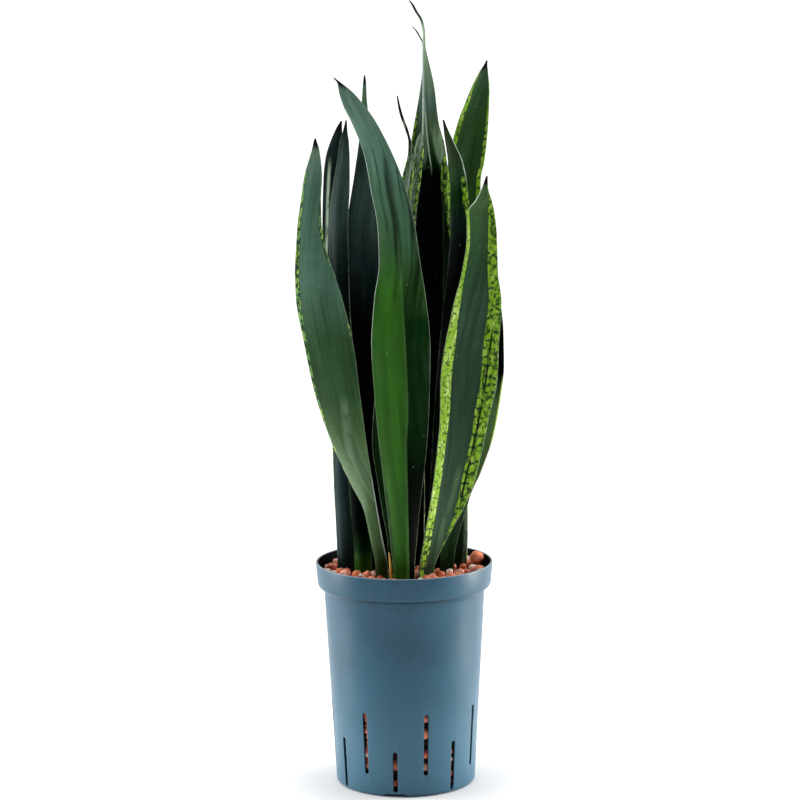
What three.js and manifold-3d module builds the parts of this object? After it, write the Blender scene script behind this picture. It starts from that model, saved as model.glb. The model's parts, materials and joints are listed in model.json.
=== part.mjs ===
// A snake plant with dark, lime-edged leaves, growing in clay pebbles in a slotted blue-grey pot.
// Millimetres, +Z up. The origin is where the pot's axis meets the surface it stands on, and -Y is the front.
import * as THREE from "three";
import { mergeVertices } from "three/addons/utils/BufferGeometryUtils.js";
import Module from "manifold-3d";

const wasm = await Module();
wasm.setup();

// Pot: outside sizes
const POT_HEIGHT = 190;
const RIM_RADIUS = 75;
const RIM_BAND_BOTTOM = 171.5;
const SHOULDER_BOTTOM = 166;
const SHOULDER_RADIUS = 68;
const FOOT_RADIUS = 59.3;
const FOOT_HEIGHT = 6;
const WALL = 1.7;
const FLOOR_UNDERSIDE = 3;
const FLOOR_TOP = 5;
const PAD_RADIUS = 12;
const FOOT_RING_INSIDE = 53;
const FOOT_RING_OUTSIDE = 57.6;
const FOOT_EDGE = [59, 1.6];
const LEDGE = [72.6, 170];
const RIM_BAND_RADIUS = 73.4;
const RIM_INSIDE = 71.6;
const LIP_ROUNDING = 0.8;
const LIP_WIDTH = 1.8;
const POT_SEGMENTS = 48;

// Pot: each half of the wall has a row of drain slots, alternately high and low, the middle one shorter.
// Four notches cut the foot ring, and two of them are under the middle slots.
const SLOT_ROWS = 2;
const SLOTS_TO_SIDE = 3;
const SLOT_STEP = 24.6;
const SLOT_WIDTH = 4;
const SLOT_MIDDLE = [4, 39];
const SLOT_LOW = [2, 45];
const SLOT_HIGH = [18, 71];
const SLOT_RADIUS = 62;
const CUT_DEPTH = 12;
const NOTCH_COUNT = 4;
const NOTCH_WIDTH = 19;
const NOTCH_HEIGHT = 2.1;
const NOTCH_ANGLE = -8.5;
const NOTCH_RADIUS = 58;

// Clay pebbles
const FILL_LEVEL = 175;
const CLEARANCE = 0.35;
const SLOT_RECESS = 5;
const SLOT_PEBBLE_STEP = 15;
const RECESS_TOP = 80;
const RECESS_SLOPE = 4;
const PEBBLE_SPACING = 15;
const PEBBLE_RINGS = 4;
const PEBBLE_SIZE = [6.4, 8.6];
const PEBBLE_RISE = 2.5;
const SLOT_PEBBLE_SIZE = [4.5, 6];
const PEBBLE_REACH = 1.15;
const PEBBLE_SEED = 11;

// Leaves: the buried end, the thickness along the middle, and the gentle wave of the margins
const LEAF_BOTTOM = 130;
const THICK_AT_BASE = 6;
const THICK_AT_TIP = 1.1;
const MARGIN_THICKNESS = 1;
const LEVEL_STEP = 21;
const TIP_LENGTH = 50;
const TIP_STEP = 9;
const WAVE_HEIGHT = 1.2;
const WAVE_LENGTH = 95;
const ACROSS = [-1, -0.6, 0, 0.6, 1];

// Rhizome: the radius of its runs, and of the knobs at their ends for that
const STEM_RADIUS = 9;
const KNOB_SHARE = 1.25;

const GREEN_DARK = 0x2d4438;
const GREEN_BLUE = 0x2c3f42;
const GREEN_GREY = 0x56705f;
const GREEN_BRIGHT = 0x3f6b35;
const GREEN_OLIVE = 0x43512a;
const GREEN_INNER = 0x3c5f38;

// How each leaf stands. The three values of depth, turn and channel are at its base, its middle and its tip:
// the depth of the middle of the leaf, how far it is turned about the vertical in degrees, and how deep its
// channel is for its half width. A positive channel shows its hollow side to the front, and a negative one
// its rounded back.
// Each row of edges is a level cut: its height, and its left and right margins as seen from the front.
const LEAVES = {
  leaf_front_middle: {
    colour: GREEN_BRIGHT,
    depth: [-38, -50, -45],
    turn: [0, -6, -6],
    channel: [-0.5, -0.24, -0.2],
    edges: [
      [130, -9, 9], [186, -9.2, 8.6], [220, -11.8, 11], [260, -16, 15.3], [300, -20.1, 19.8],
      [340, -23.4, 22], [380, -25.5, 22.9], [420, -22.7, 19.5], [448, -18.6, 15.3],
      [477, -19.4, 11.4], [508, -24.6, 4.3], [537, -29.8, -6.5], [564, -40, -20], [577, -46.4, -29],
      [589, -50, -39.5], [595, -50.8, -47], [600, -54.6, -53.4],
    ],
  },
  leaf_front_left: {
    colour: GREEN_GREY,
    depth: [-24, -37, -33],
    turn: [-52, -14, -10],
    channel: [-0.4, -0.16, -0.18],
    edges: [
      [130, -24, -14], [185, -23, -13.5], [220, -28.9, -18.7], [240, -33.5, -21.9],
      [260, -43.5, -25], [300, -61, -30.6], [340, -73.2, -35.4], [380, -81.1, -40.3],
      [420, -87.6, -49.5], [440, -88, -55.5], [460, -86.8, -62.5], [480, -85.2, -65.5],
      [500, -82.2, -65.7], [520, -79, -64.6], [540, -73, -66.5], [550, -70.6, -69.4],
    ],
  },
  leaf_front_right: {
    colour: GREEN_GREY,
    depth: [-27, -45, -42],
    turn: [33, 13, 10],
    channel: [0.4, 0.24, 0.22],
    edges: [
      [130, 12, 25], [185, 12.4, 25], [210, 16, 34.5], [235, 20.1, 47.6], [260, 24, 58.3],
      [298, 28.5, 67.2], [320, 30.4, 71.5], [350, 31, 78], [385, 35.6, 79.8], [400, 39, 81.5],
      [415, 42.3, 81.7], [440, 49, 78.8], [470, 53.3, 78.1], [490, 53.4, 76], [499, 60.4, 73.9],
      [510, 66, 70.9], [519, 69.4, 70.6],
    ],
  },
  leaf_short_olive: {
    colour: GREEN_OLIVE,
    depth: [-19, -27, -30],
    turn: [0, 16, 20],
    channel: [-0.4, -0.25, -0.2],
    edges: [
      [130, -13, 4], [185, -13, 5], [210, -13.8, 6], [236, -17.9, 8], [261, -21.4, 9],
      [298, -26, 9], [320, -24.7, 8], [360, -20, 5], [400, -12, 2], [420, -7, -1],
      [432, -4.6, -3.4],
    ],
  },
  leaf_short_right: {
    colour: GREEN_DARK,
    depth: [-11, -20, -22],
    turn: [20, 30, 30],
    channel: [0.35, 0.22, 0.2],
    edges: [
      [130, 30, 42], [185, 30, 42], [245, 38, 55.4], [268, 43, 65.4], [298, 48, 75.6],
      [328, 52, 81.2], [358, 55, 84.9], [388, 60, 84.3], [410, 66, 82], [430, 72, 79.5],
      [442, 76.1, 77.3],
    ],
  },
  leaf_middle_right: {
    colour: GREEN_DARK,
    depth: [0, -9, -14],
    turn: [5, 26, 20],
    channel: [0.4, 0.26, 0.2],
    edges: [
      [130, 19.5, 34.5], [185, 19.5, 34.5], [250, 22, 44], [320, 26, 54], [400, 33, 58],
      [440, 38, 57.5], [480, 40.8, 57], [500, 41, 55.6], [510, 40.3, 54.6], [530, 38.8, 50.5],
      [540, 37.5, 46], [552, 35.8, 40.4], [558, 35.3, 37.6], [563, 34.6, 35.8],
    ],
  },
  leaf_right: {
    colour: GREEN_INNER,
    depth: [12, 27, 34],
    turn: [8, 12, 16],
    channel: [0.36, 0.22, 0.18],
    edges: [
      [130, 36, 52.5], [180, 36, 53.1], [209, 36, 54.5], [235, 36, 54.6], [320, 37, 62],
      [400, 37, 66], [460, 36.5, 66], [510, 37.5, 67.2], [524, 39.5, 70.2], [547, 44.8, 72.9],
      [563, 49.7, 74], [571, 53, 74.4], [585, 58.8, 74.8], [600, 66.5, 73.5], [606, 70.6, 72.9],
      [609, 72, 73.2],
    ],
  },
  leaf_behind_front: {
    colour: GREEN_BLUE,
    depth: [12, 10, 6],
    turn: [-5, 14, 16],
    channel: [-0.35, -0.24, -0.2],
    edges: [
      [130, -29, -13], [185, -29, -13], [250, -34, -11], [320, -41, -8], [400, -45.5, -12],
      [440, -46.5, -15], [470, -46, -18], [489, -43.5, -20], [520, -38.3, -22], [548, -34.3, -24],
      [580, -31.8, -27.8], [593, -30.8, -28.2], [599, -30, -28.9],
    ],
  },
  leaf_narrow_tip: {
    colour: GREEN_GREY,
    depth: [-1, -10, -13],
    turn: [0, -14, -10],
    channel: [0.35, 0.2, 0.15],
    edges: [
      [130, -12, 2], [185, -12, 2], [250, -14, 2], [320, -18, 2], [400, -18, 2], [440, -15, 3],
      [500, -3.5, 8], [521, 2.3, 10.5], [537, 6.1, 11.2], [545, 6.7, 8.6], [555, 4.4, 5.8],
      [563, 1.3, 2.7], [569, -0.4, 0.8], [577, -2.1, -0.9], [583, -3, -2],
    ],
  },
  leaf_blunt_tip: {
    colour: GREEN_GREY,
    depth: [8, 4, -2],
    turn: [0, 8, 10],
    channel: [0.4, 0.2, 0.15],
    edges: [
      [130, 3, 17], [185, 3, 17], [250, 0, 18], [320, -4, 16], [400, -6, 13], [440, -5, 11],
      [482, 0, 12], [500, 4, 14.7], [513, 6, 16.6], [527, 9.5, 18], [537, 11.3, 18.9],
      [545, 13, 18.9], [549, 14.5, 18.4], [551.5, 16.4, 17.9],
    ],
  },
  leaf_tallest: {
    colour: GREEN_DARK,
    depth: [21, 18, 12],
    turn: [0, -6, -8],
    channel: [0.4, 0.44, 0.5],
    edges: [
      [130, 6, 22], [185, 5.5, 22.5], [250, 3, 27], [320, 2, 33], [400, 5, 40], [440, 9, 43],
      [460, 11, 42.6], [480, 13, 40], [500, 15, 38.9], [520, 17, 38.8], [540, 19, 37],
      [557, 19.6, 32.3], [569, 20, 30.5], [586, 20, 28.6], [603, 19.8, 25.3], [614, 19.5, 22.7],
      [625, 19.2, 20.9], [632, 19.2, 21], [638, 18.3, 20.4], [644, 16.6, 18.9], [650, 12.9, 15.2],
      [657, 9.4, 11.2], [660, 7.4, 8.6],
    ],
  },
  leaf_back: {
    colour: GREEN_INNER,
    depth: [33, 46, 50],
    turn: [0, -12, -16],
    channel: [0.35, 0.28, 0.24],
    edges: [
      [130, -10, 7], [185, -10.5, 6.5], [250, -12, 12], [320, -12, 20], [400, -8, 27], [460, 0, 31],
      [500, 5, 32], [535, 8, 31], [550, 9.8, 29], [565, 12.3, 27], [584, 15.7, 25], [603, 19, 22.6],
      [612, 19.3, 21.6], [623, 18.6, 20.1], [629, 15.7, 17.2], [634, 12.7, 14.1], [637, 9.7, 10.8],
    ],
  },
  leaf_left_front: {
    colour: GREEN_BLUE,
    depth: [-2, 0, 4],
    turn: [-10, -34, -28],
    channel: [-0.35, -0.2, -0.16],
    edges: [
      [130, -42, -27.3], [190, -42, -27.3], [230, -44, -29], [280, -48, -31], [340, -54, -37],
      [400, -59, -43], [440, -60.2, -44], [463, -60, -44.2], [489, -59.2, -43.7], [505, -57, -42.7],
      [530, -52.6, -42.4], [545, -50.4, -43], [554, -47.5, -44.2], [562, -45.6, -44.5],
    ],
  },
  leaf_left_back: {
    colour: GREEN_BLUE,
    depth: [9, 23, 28],
    turn: [-28, -34, -26],
    channel: [-0.35, -0.2, -0.16],
    edges: [
      [130, -56, -42], [187, -56.5, -42], [212, -57.3, -42.2], [250, -59, -42.6], [290, -60.2, -43],
      [350, -64, -45], [400, -66.5, -46], [450, -67, -46.5], [490, -66, -46.8], [515, -64.8, -47.5],
      [530, -62.8, -48], [544, -58.3, -48.6], [555, -53.2, -49], [560, -50, -48.9],
    ],
  },
};

const DRY_SHEATH = {
  colour: 0xb08a2e,
  depth: [-43, -43, -43],
  turn: [-20, -20, -20],
  channel: [0, 0, 0],
  edges: [[165, -11.6, -9.4], [182, -11.9, -9.7], [196, -12.6, -10.6], [206, -13, -12]],
};

// A value at a height, on a curve through rows of heights and values that never swings past them.
function smooth(rows, column, z) {
  const last = rows.length - 1;
  if (z <= rows[0][0]) return rows[0][column];
  if (z >= rows[last][0]) return rows[last][column];
  const slope = (i) => (rows[i + 1][column] - rows[i][column]) / (rows[i + 1][0] - rows[i][0]);
  const tangent = (i) => {
    if (i === 0) return slope(0);
    if (i === last) return slope(last - 1);
    const [a, b] = [slope(i - 1), slope(i)];
    return a * b <= 0 ? 0 : (2 * a * b) / (a + b);
  };
  const i = rows.findIndex((row) => row[0] > z) - 1;
  const span = rows[i + 1][0] - rows[i][0];
  const t = (z - rows[i][0]) / span;
  const start = (2 * t ** 3 - 3 * t ** 2 + 1) * rows[i][column];
  const leave = (t ** 3 - 2 * t ** 2 + t) * span * tangent(i);
  const end = (3 * t ** 2 - 2 * t ** 3) * rows[i + 1][column];
  return start + leave + end + (t ** 3 - t ** 2) * span * tangent(i + 1);
}

// Where a leaf is at height z, and how it is turned and channelled there.
function leafCut(leaf, z) {
  const tip = leaf.edges[leaf.edges.length - 1][0];
  const heights = [POT_HEIGHT, (POT_HEIGHT + tip) / 2, tip];
  const between = (values) => smooth(heights.map((height, i) => [height, values[i]]), 1, z);
  const left = smooth(leaf.edges, 1, z);
  const right = smooth(leaf.edges, 2, z);
  const turn = THREE.MathUtils.degToRad(between(leaf.turn));
  const half = (right - left) / 2 / Math.cos(turn);
  const channel = between(leaf.channel) * Math.min(1, half / 6);
  return { middle: (left + right) / 2, half, depth: between(leaf.depth), turn, channel };
}

// The middle of a leaf's flesh at height z, for s from -1 at the left margin to 1 at the right one.
function fleshPoint(leaf, z, s) {
  const { middle, half, depth, turn, channel } = leafCut(leaf, z);
  const away = channel * half * (1 - Math.abs(s) ** 1.6);
  const size = Math.min(1, half / 12);
  const phase = leaf.edges[0][1] + s;
  const wave = WAVE_HEIGHT * size * Math.abs(s) ** 3 * Math.sin((2 * Math.PI * z) / WAVE_LENGTH + phase);
  return new THREE.Vector2(
    middle + s * half * Math.cos(turn) - away * Math.sin(turn),
    depth + s * half * Math.sin(turn) + (away + wave) * Math.cos(turn),
  );
}

function thickness(leaf, z, s) {
  const tip = leaf.edges[leaf.edges.length - 1][0];
  const left = THREE.MathUtils.clamp((tip - z) / (tip - LEAF_BOTTOM), 0, 1);
  const full = THICK_AT_TIP + (THICK_AT_BASE - THICK_AT_TIP) * left ** 1.5 + 1.2 * left;
  const middle = Math.min(full, 0.6 * leafCut(leaf, z).half + 0.8);
  return Math.max(middle * (1 - 0.8 * s * s), Math.min(MARGIN_THICKNESS, middle));
}

// The heights of a leaf's level cuts: one long step in the pebbles, even steps above, short ones at the tip.
function leafLevels({ edges }) {
  const bottom = edges[0][0];
  const top = edges[edges.length - 1][0];
  const shoulder = Math.max(FILL_LEVEL, top - TIP_LENGTH);
  const spread = (from, to, step) => {
    const count = Math.ceil((to - from) / step);
    return Array.from({ length: count }, (_, k) => from + ((to - from) * (k + 1)) / count);
  };
  const blade = spread(FILL_LEVEL, shoulder, LEVEL_STEP);
  return [bottom, FILL_LEVEL, ...blade, ...spread(shoulder, top, TIP_STEP)];
}

// One leaf, or with room above 0 the hole that it stands in: a stack of level cuts, capped at both ends.
// Both faces are split into triangles alike, so a waved blade never crosses itself.
function leafGeometry(leaf, heights, room = 0) {
  const points = [];
  const count = ACROSS.length;
  const levels = heights.length;
  for (const [k, z] of heights.entries()) {
    const height = k === 0 ? z - room : z;
    for (const side of [1, -1]) {
      for (const s of ACROSS) {
        const ahead = fleshPoint(leaf, z, s + 0.02);
        const behind = fleshPoint(leaf, z, s - 0.02);
        const across = ahead.sub(behind).normalize();
        const middle = fleshPoint(leaf, z, s).addScaledVector(across, s * room);
        const offset = side * (thickness(leaf, z, s) / 2 + room);
        points.push(middle.x + across.y * offset, middle.y - across.x * offset, height);
      }
    }
  }
  const id = (k, side, i) => (k * 2 + side) * count + i;
  const faces = [];
  const quad = (a, b, c, d) => faces.push(a, b, c, a, c, d);
  for (let k = 0; k < levels - 1; k++) {
    for (let i = 0; i < count - 1; i++) {
      quad(id(k, 0, i), id(k, 0, i + 1), id(k + 1, 0, i + 1), id(k + 1, 0, i));
      faces.push(id(k, 1, i), id(k + 1, 1, i + 1), id(k, 1, i + 1));
      faces.push(id(k, 1, i), id(k + 1, 1, i), id(k + 1, 1, i + 1));
    }
    quad(id(k, 0, count - 1), id(k, 1, count - 1), id(k + 1, 1, count - 1), id(k + 1, 0, count - 1));
    quad(id(k, 1, 0), id(k, 0, 0), id(k + 1, 0, 0), id(k + 1, 1, 0));
  }
  for (let i = 0; i < count - 1; i++) {
    quad(id(0, 0, i), id(0, 1, i), id(0, 1, i + 1), id(0, 0, i + 1));
    const k = levels - 1;
    quad(id(k, 0, i), id(k, 0, i + 1), id(k, 1, i + 1), id(k, 1, i));
  }
  const geometry = new THREE.BufferGeometry();
  geometry.setAttribute("position", new THREE.Float32BufferAttribute(points, 3));
  geometry.setIndex(faces);
  return geometry;
}

function solid(geometry) {
  const bare = geometry.clone().deleteAttribute("normal").deleteAttribute("uv");
  const merged = mergeVertices(bare, 1e-4);
  const vertProperties = merged.attributes.position.array;
  return new wasm.Manifold(
    new wasm.Mesh({ numProp: 3, vertProperties, triVerts: new Uint32Array(merged.index.array) }),
  );
}

function geometryOf(manifold) {
  const { vertProperties, triVerts } = manifold.getMesh();
  const geometry = new THREE.BufferGeometry();
  geometry.setAttribute("position", new THREE.Float32BufferAttribute(vertProperties, 3));
  geometry.setIndex(Array.from(triVerts));
  geometry.computeVertexNormals();
  return geometry;
}

// The outline is given as radius and height, and is turned about the vertical.
function turned(outline, segments) {
  const profile = outline.map(([radius, height]) => new THREE.Vector2(radius, height));
  return new THREE.LatheGeometry(profile, segments).rotateX(Math.PI / 2);
}

// The pot wall's outer radius at a height below the shoulder.
function wallRadius(z) {
  const share = (z - FOOT_HEIGHT) / (SHOULDER_BOTTOM - FOOT_HEIGHT);
  return FOOT_RADIUS + (SHOULDER_RADIUS - FOOT_RADIUS) * share;
}

// Azimuths run from the front (-Y) towards +X, in degrees.
function place(geometry, azimuth, radius, z) {
  const angle = THREE.MathUtils.degToRad(azimuth);
  return geometry.rotateZ(angle).translate(radius * Math.sin(angle), -radius * Math.cos(angle), z);
}

// The azimuth of every drain slot, and the heights of its two ends.
function slots() {
  const made = [];
  for (let row = 0; row < SLOT_ROWS; row++) {
    for (let i = -SLOTS_TO_SIDE; i <= SLOTS_TO_SIDE; i++) {
      const range = i === 0 ? SLOT_MIDDLE : i % 2 ? SLOT_HIGH : SLOT_LOW;
      made.push({ azimuth: NOTCH_ANGLE + (360 / SLOT_ROWS) * row + SLOT_STEP * i, range });
    }
  }
  return made;
}

function pot() {
  const outline = [
    [0, 0],
    [PAD_RADIUS, 0],
    [PAD_RADIUS + 1.5, FLOOR_UNDERSIDE],
    [FOOT_RING_INSIDE, FLOOR_UNDERSIDE],
    [FOOT_RING_INSIDE + 0.5, 0],
    [FOOT_RING_OUTSIDE, 0],
    FOOT_EDGE,
    [FOOT_RADIUS, FOOT_HEIGHT],
    [SHOULDER_RADIUS, SHOULDER_BOTTOM],
    LEDGE,
    [RIM_BAND_RADIUS, RIM_BAND_BOTTOM],
    [RIM_RADIUS, POT_HEIGHT - LIP_ROUNDING],
    [RIM_RADIUS - 0.6, POT_HEIGHT],
    [RIM_RADIUS - LIP_WIDTH + 0.4, POT_HEIGHT],
    [RIM_RADIUS - LIP_WIDTH, POT_HEIGHT - LIP_ROUNDING],
    [RIM_INSIDE, RIM_BAND_BOTTOM - 0.5],
    [SHOULDER_RADIUS - WALL, SHOULDER_BOTTOM],
    [FOOT_RADIUS - WALL, FOOT_HEIGHT],
    [FOOT_RADIUS - WALL - 0.8, FLOOR_TOP],
    [0, FLOOR_TOP],
  ];
  let body = solid(turned(outline, POT_SEGMENTS));
  for (const { azimuth, range } of slots()) {
    const [low, high] = range;
    const cutter = new THREE.BoxGeometry(SLOT_WIDTH, CUT_DEPTH, high - low);
    body = body.subtract(solid(place(cutter, azimuth, SLOT_RADIUS, (low + high) / 2)));
  }
  for (let i = 0; i < NOTCH_COUNT; i++) {
    const cutter = new THREE.BoxGeometry(NOTCH_WIDTH, CUT_DEPTH, 2 * NOTCH_HEIGHT);
    const azimuth = NOTCH_ANGLE + (360 / NOTCH_COUNT) * i;
    body = body.subtract(solid(place(cutter, azimuth, NOTCH_RADIUS, 0)));
  }
  return body;
}

// A repeatable generator of random numbers between low and high.
function randomFrom(seed) {
  let state = seed;
  return (low, high) => {
    state = (state * 1664525 + 1013904223) % 2 ** 32;
    return low + ((high - low) * state) / 2 ** 32;
  };
}

// A rounded pebble that fits in a ball of PEBBLE_REACH times its radius.
function pebble(random, shape) {
  shape.scale(random(0.9, PEBBLE_REACH), random(0.9, PEBBLE_REACH), random(0.75, 0.95));
  return shape.rotateZ(random(0, 2 * Math.PI)).rotateX(random(0, 0.6));
}

// The pebbles' bulk, pebbles standing out of its top and behind the slots, and holes for what grows in it.
function clayPebbles() {
  const random = randomFrom(PEBBLE_SEED);
  const inside = (z) => wallRadius(z) - WALL - CLEARANCE;
  const bulk = [
    [0, FLOOR_TOP + CLEARANCE],
    [inside(10) - SLOT_RECESS, FLOOR_TOP + CLEARANCE],
    [inside(RECESS_TOP) - SLOT_RECESS, RECESS_TOP],
    [inside(RECESS_TOP + RECESS_SLOPE), RECESS_TOP + RECESS_SLOPE],
    [inside(SHOULDER_BOTTOM), SHOULDER_BOTTOM],
    [RIM_INSIDE - 2 * CLEARANCE, RIM_BAND_BOTTOM],
    [RIM_INSIDE - CLEARANCE, FILL_LEVEL],
    [0, FILL_LEVEL],
  ];
  const shapes = [solid(turned(bulk, POT_SEGMENTS / 2))];
  for (let row = 0; row <= PEBBLE_RINGS; row++) {
    const ring = row * PEBBLE_SPACING;
    const count = Math.max(1, Math.round((2 * Math.PI * ring) / PEBBLE_SPACING));
    for (let i = 0; i < count; i++) {
      const azimuth = (360 * (i + random(0, 0.4))) / count + THREE.MathUtils.radToDeg(row);
      const radius = ring + random(-1, 1);
      const stone = pebble(random, new THREE.DodecahedronGeometry(random(...PEBBLE_SIZE)));
      shapes.push(solid(place(stone, azimuth, radius, FILL_LEVEL + random(0, PEBBLE_RISE))));
    }
  }
  for (const { azimuth, range } of slots()) {
    const [low, high] = range;
    const steps = Math.round((high - low) / SLOT_PEBBLE_STEP);
    for (let i = 0; i < steps; i++) {
      const z = Math.max(low, FLOOR_TOP + 3) + ((high - low) * (i + 0.5)) / steps;
      const size = random(...SLOT_PEBBLE_SIZE);
      const stone = pebble(random, new THREE.IcosahedronGeometry(size));
      const radius = inside(z) - PEBBLE_REACH * size;
      shapes.push(solid(place(stone, azimuth + random(-1.5, 1.5), radius, z)));
    }
  }
  let body = wasm.Manifold.union(shapes);
  for (const leaf of [...Object.values(LEAVES), DRY_SHEATH]) {
    const heights = leafLevels(leaf);
    const buried = heights.slice(0, heights.findIndex((z) => z > POT_HEIGHT) + 1);
    body = body.subtract(solid(leafGeometry(leaf, buried, CLEARANCE)));
  }
  body = body.subtract(rhizome(CLEARANCE));
  return body.decompose().sort((a, b) => b.volume() - a.volume())[0];
}

// The underground stem that the leaves grow from: three thick runs under the leaf bases.
function rhizome(room = 0) {
  const runs = [
    [[-49, 8], [-35, -3], [-18, -22], [-1, -36], [18, -28], [35, -12]],
    [[-2, 33], [14, 24], [30, 10], [46, 14]],
    [[-35, -3], [-20, 12], [-2, 33]],
    [[-4, -22], [-4, 0], [12, 8], [30, 8]],
  ];
  const top = LEAF_BOTTOM - CLEARANCE + room;
  const height = LEAF_BOTTOM - CLEARANCE - STEM_RADIUS;
  const shapes = [];
  for (const run of runs) {
    const ends = run.map(([x, y]) => new THREE.Vector3(x, y, height));
    const path = new THREE.CatmullRomCurve3(ends);
    const round = new THREE.Path().absarc(0, 0, STEM_RADIUS + room, 0, 2 * Math.PI);
    const section = new THREE.Shape(round.getPoints(2));
    const steps = run.length - 1;
    shapes.push(solid(new THREE.ExtrudeGeometry(section, { steps, bevelEnabled: false, extrudePath: path })));
    for (const end of [ends[0], ends[ends.length - 1]]) {
      const knob = new THREE.IcosahedronGeometry(KNOB_SHARE * STEM_RADIUS + room, 0);
      shapes.push(solid(knob.translate(end.x, end.y, end.z)));
    }
  }
  const above = new THREE.BoxGeometry(200, 200, 40).translate(0, 0, top + 20);
  return wasm.Manifold.union(shapes).subtract(solid(above));
}

function mesh(name, geometry, colour, roughness) {
  const made = new THREE.Mesh(geometry, new THREE.MeshStandardMaterial({ color: colour, roughness }));
  made.name = name;
  return made;
}

const plant = new THREE.Group();
plant.name = "potted_snake_plant";
plant.add(mesh("pot", geometryOf(pot()), 0x5f7d94, 0.5));
plant.add(mesh("clay_pebbles", geometryOf(clayPebbles()), 0xb06a4c, 0.95));
plant.add(mesh("rhizome", geometryOf(rhizome()), 0xc9a05a, 0.8));
for (const [name, leaf] of Object.entries(LEAVES)) {
  plant.add(mesh(name, leafGeometry(leaf, leafLevels(leaf)), leaf.colour, 0.4));
}
plant.add(mesh("dry_sheath", leafGeometry(DRY_SHEATH, leafLevels(DRY_SHEATH)), DRY_SHEATH.colour, 0.8));

export default plant;
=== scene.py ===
import json
import math
import random

import bmesh
import bpy
import numpy as np
from mathutils import Euler, Matrix, Vector, noise


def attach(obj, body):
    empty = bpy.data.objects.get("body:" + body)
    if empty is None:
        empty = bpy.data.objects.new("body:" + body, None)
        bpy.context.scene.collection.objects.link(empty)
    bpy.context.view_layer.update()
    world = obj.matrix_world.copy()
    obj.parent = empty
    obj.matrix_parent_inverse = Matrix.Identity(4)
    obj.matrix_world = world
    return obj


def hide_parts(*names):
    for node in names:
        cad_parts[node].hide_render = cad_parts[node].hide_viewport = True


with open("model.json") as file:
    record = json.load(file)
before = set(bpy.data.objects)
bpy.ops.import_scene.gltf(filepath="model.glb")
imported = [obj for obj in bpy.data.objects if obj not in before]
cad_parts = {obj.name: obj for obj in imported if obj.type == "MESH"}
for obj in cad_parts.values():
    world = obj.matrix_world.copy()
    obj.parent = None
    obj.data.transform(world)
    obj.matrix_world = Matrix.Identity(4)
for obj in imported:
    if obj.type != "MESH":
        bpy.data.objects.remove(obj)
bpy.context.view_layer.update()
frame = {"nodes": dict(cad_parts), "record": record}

MM = 0.001

# Camera: a long lens a little above the pot, looking slightly down
CAMERA_PLACE = (-2.4, -2486.6, 731.1)
CAMERA_PITCH = -9.218
CAMERA_ROLL = -0.48
CAMERA_LENS = 135
CAMERA_SENSOR = 36

# Light: the white surround, its dimmer part on the camera's side, and the floor's own glow, which starts at
# one distance from the pot's axis and is full at another, so the floor nearer the pot is painted shade
SURROUND_LIGHT = 1.03
FRONT_LIGHT = 0.04
FRONT_FADE = (-0.8, 0.0)
FLOOR_GLOW = 0.4
FLOOR_GLOW_AND_SHADE_REACH = (60, 170)
FLOOR_RADIUS = 40000
FLOOR_SURFACE = -0.4
FLOOR_BACK = -1.0

# Soft boxes: place, width and height, power, what each faces, its spread in degrees and its colour.
# Their places and sizes are in metres.
WHITE_LIGHT = (1, 1, 1)
WARM_LIGHT = (1, 0.92, 0.78)
PLANT_MIDDLE = (0, 0, 0.33)
SOFT_BOXES = {
    "left_box": ((-1.6, 0.35, 0.7), (0.9, 1.5), 24, PLANT_MIDDLE, 180, WHITE_LIGHT),
    "right_box": ((1.6, 0.45, 0.7), (0.9, 1.5), 30, PLANT_MIDDLE, 180, WHITE_LIGHT),
    "top_box": ((0.0, -0.4, 2.4), (1.6, 1.2), 8, PLANT_MIDDLE, 180, WHITE_LIGHT),
    "left_pot_box": ((-0.9, 0.06, 0.1), (0.25, 0.2), 0.15, (0, 0, 0.09), 24, WARM_LIGHT),
    "right_pot_box": ((0.9, 0.1, 0.1), (0.25, 0.2), 0.23, (0, 0, 0.125), 24, WARM_LIGHT),
}

# Pot: FOOT_EDGE and LEDGE are points of radius and height
POT_HEIGHT = 190
RIM_RADIUS = 75
RIM_BAND_RADIUS = 73.4
RIM_BAND_BOTTOM = 171.5
RIM_FLARE = (RIM_RADIUS - RIM_BAND_RADIUS) / (POT_HEIGHT - RIM_BAND_BOTTOM)
RIM_INSIDE = 71.6
LIP_WIDTH = 1.8
LEDGE = (72.6, 170)
SHOULDER_BOTTOM = 166
SHOULDER_RADIUS = 68
SHOULDER_RISE = 5
FOOT_RADIUS = 59.3
FOOT_HEIGHT = 6
FOOT_EDGE = (59, 1.6)
FOOT_RING_INSIDE = 53
FOOT_RING_OUTSIDE = 57.6
FOOT_RING_SLOPE = 0.5
PAD_RADIUS = 12
PAD_SLOPE = 1.5
WALL = 1.7
FLOOR_UNDERSIDE = 3
FLOOR_TOP = 5
FLOOR_COVE = 0.8
POT_SEGMENTS = 192
ROUND_SEGMENTS = 64
WALL_RINGS = (48, 74, 100, 133)
EDGE_BEVEL = 0.25
BEVEL_ANGLE = 50
SHARP_ANGLE = 32

# Drain slots, as lowest and highest point, and the notches in the foot ring
SLOT_ROWS = 2
SLOTS_TO_SIDE = 3
SLOT_STEP = 24.6
SLOT_WIDTH = 4
SLOT_MIDDLE = (4, 39)
SLOT_LOW = (2, 45)
SLOT_HIGH = (18, 71)
SLOT_RADIUS = 62
SLOT_CORNERS = 16
NOTCH_COUNT = 4
NOTCH_WIDTH = 19
NOTCH_HEIGHT = 2.1
NOTCH_ANGLE = -8.5
NOTCH_RADIUS = 58
NOTCH_SLOPE = 0.6
NOTCH_BELOW = 2
CUT_DEPTH = 12

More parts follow.
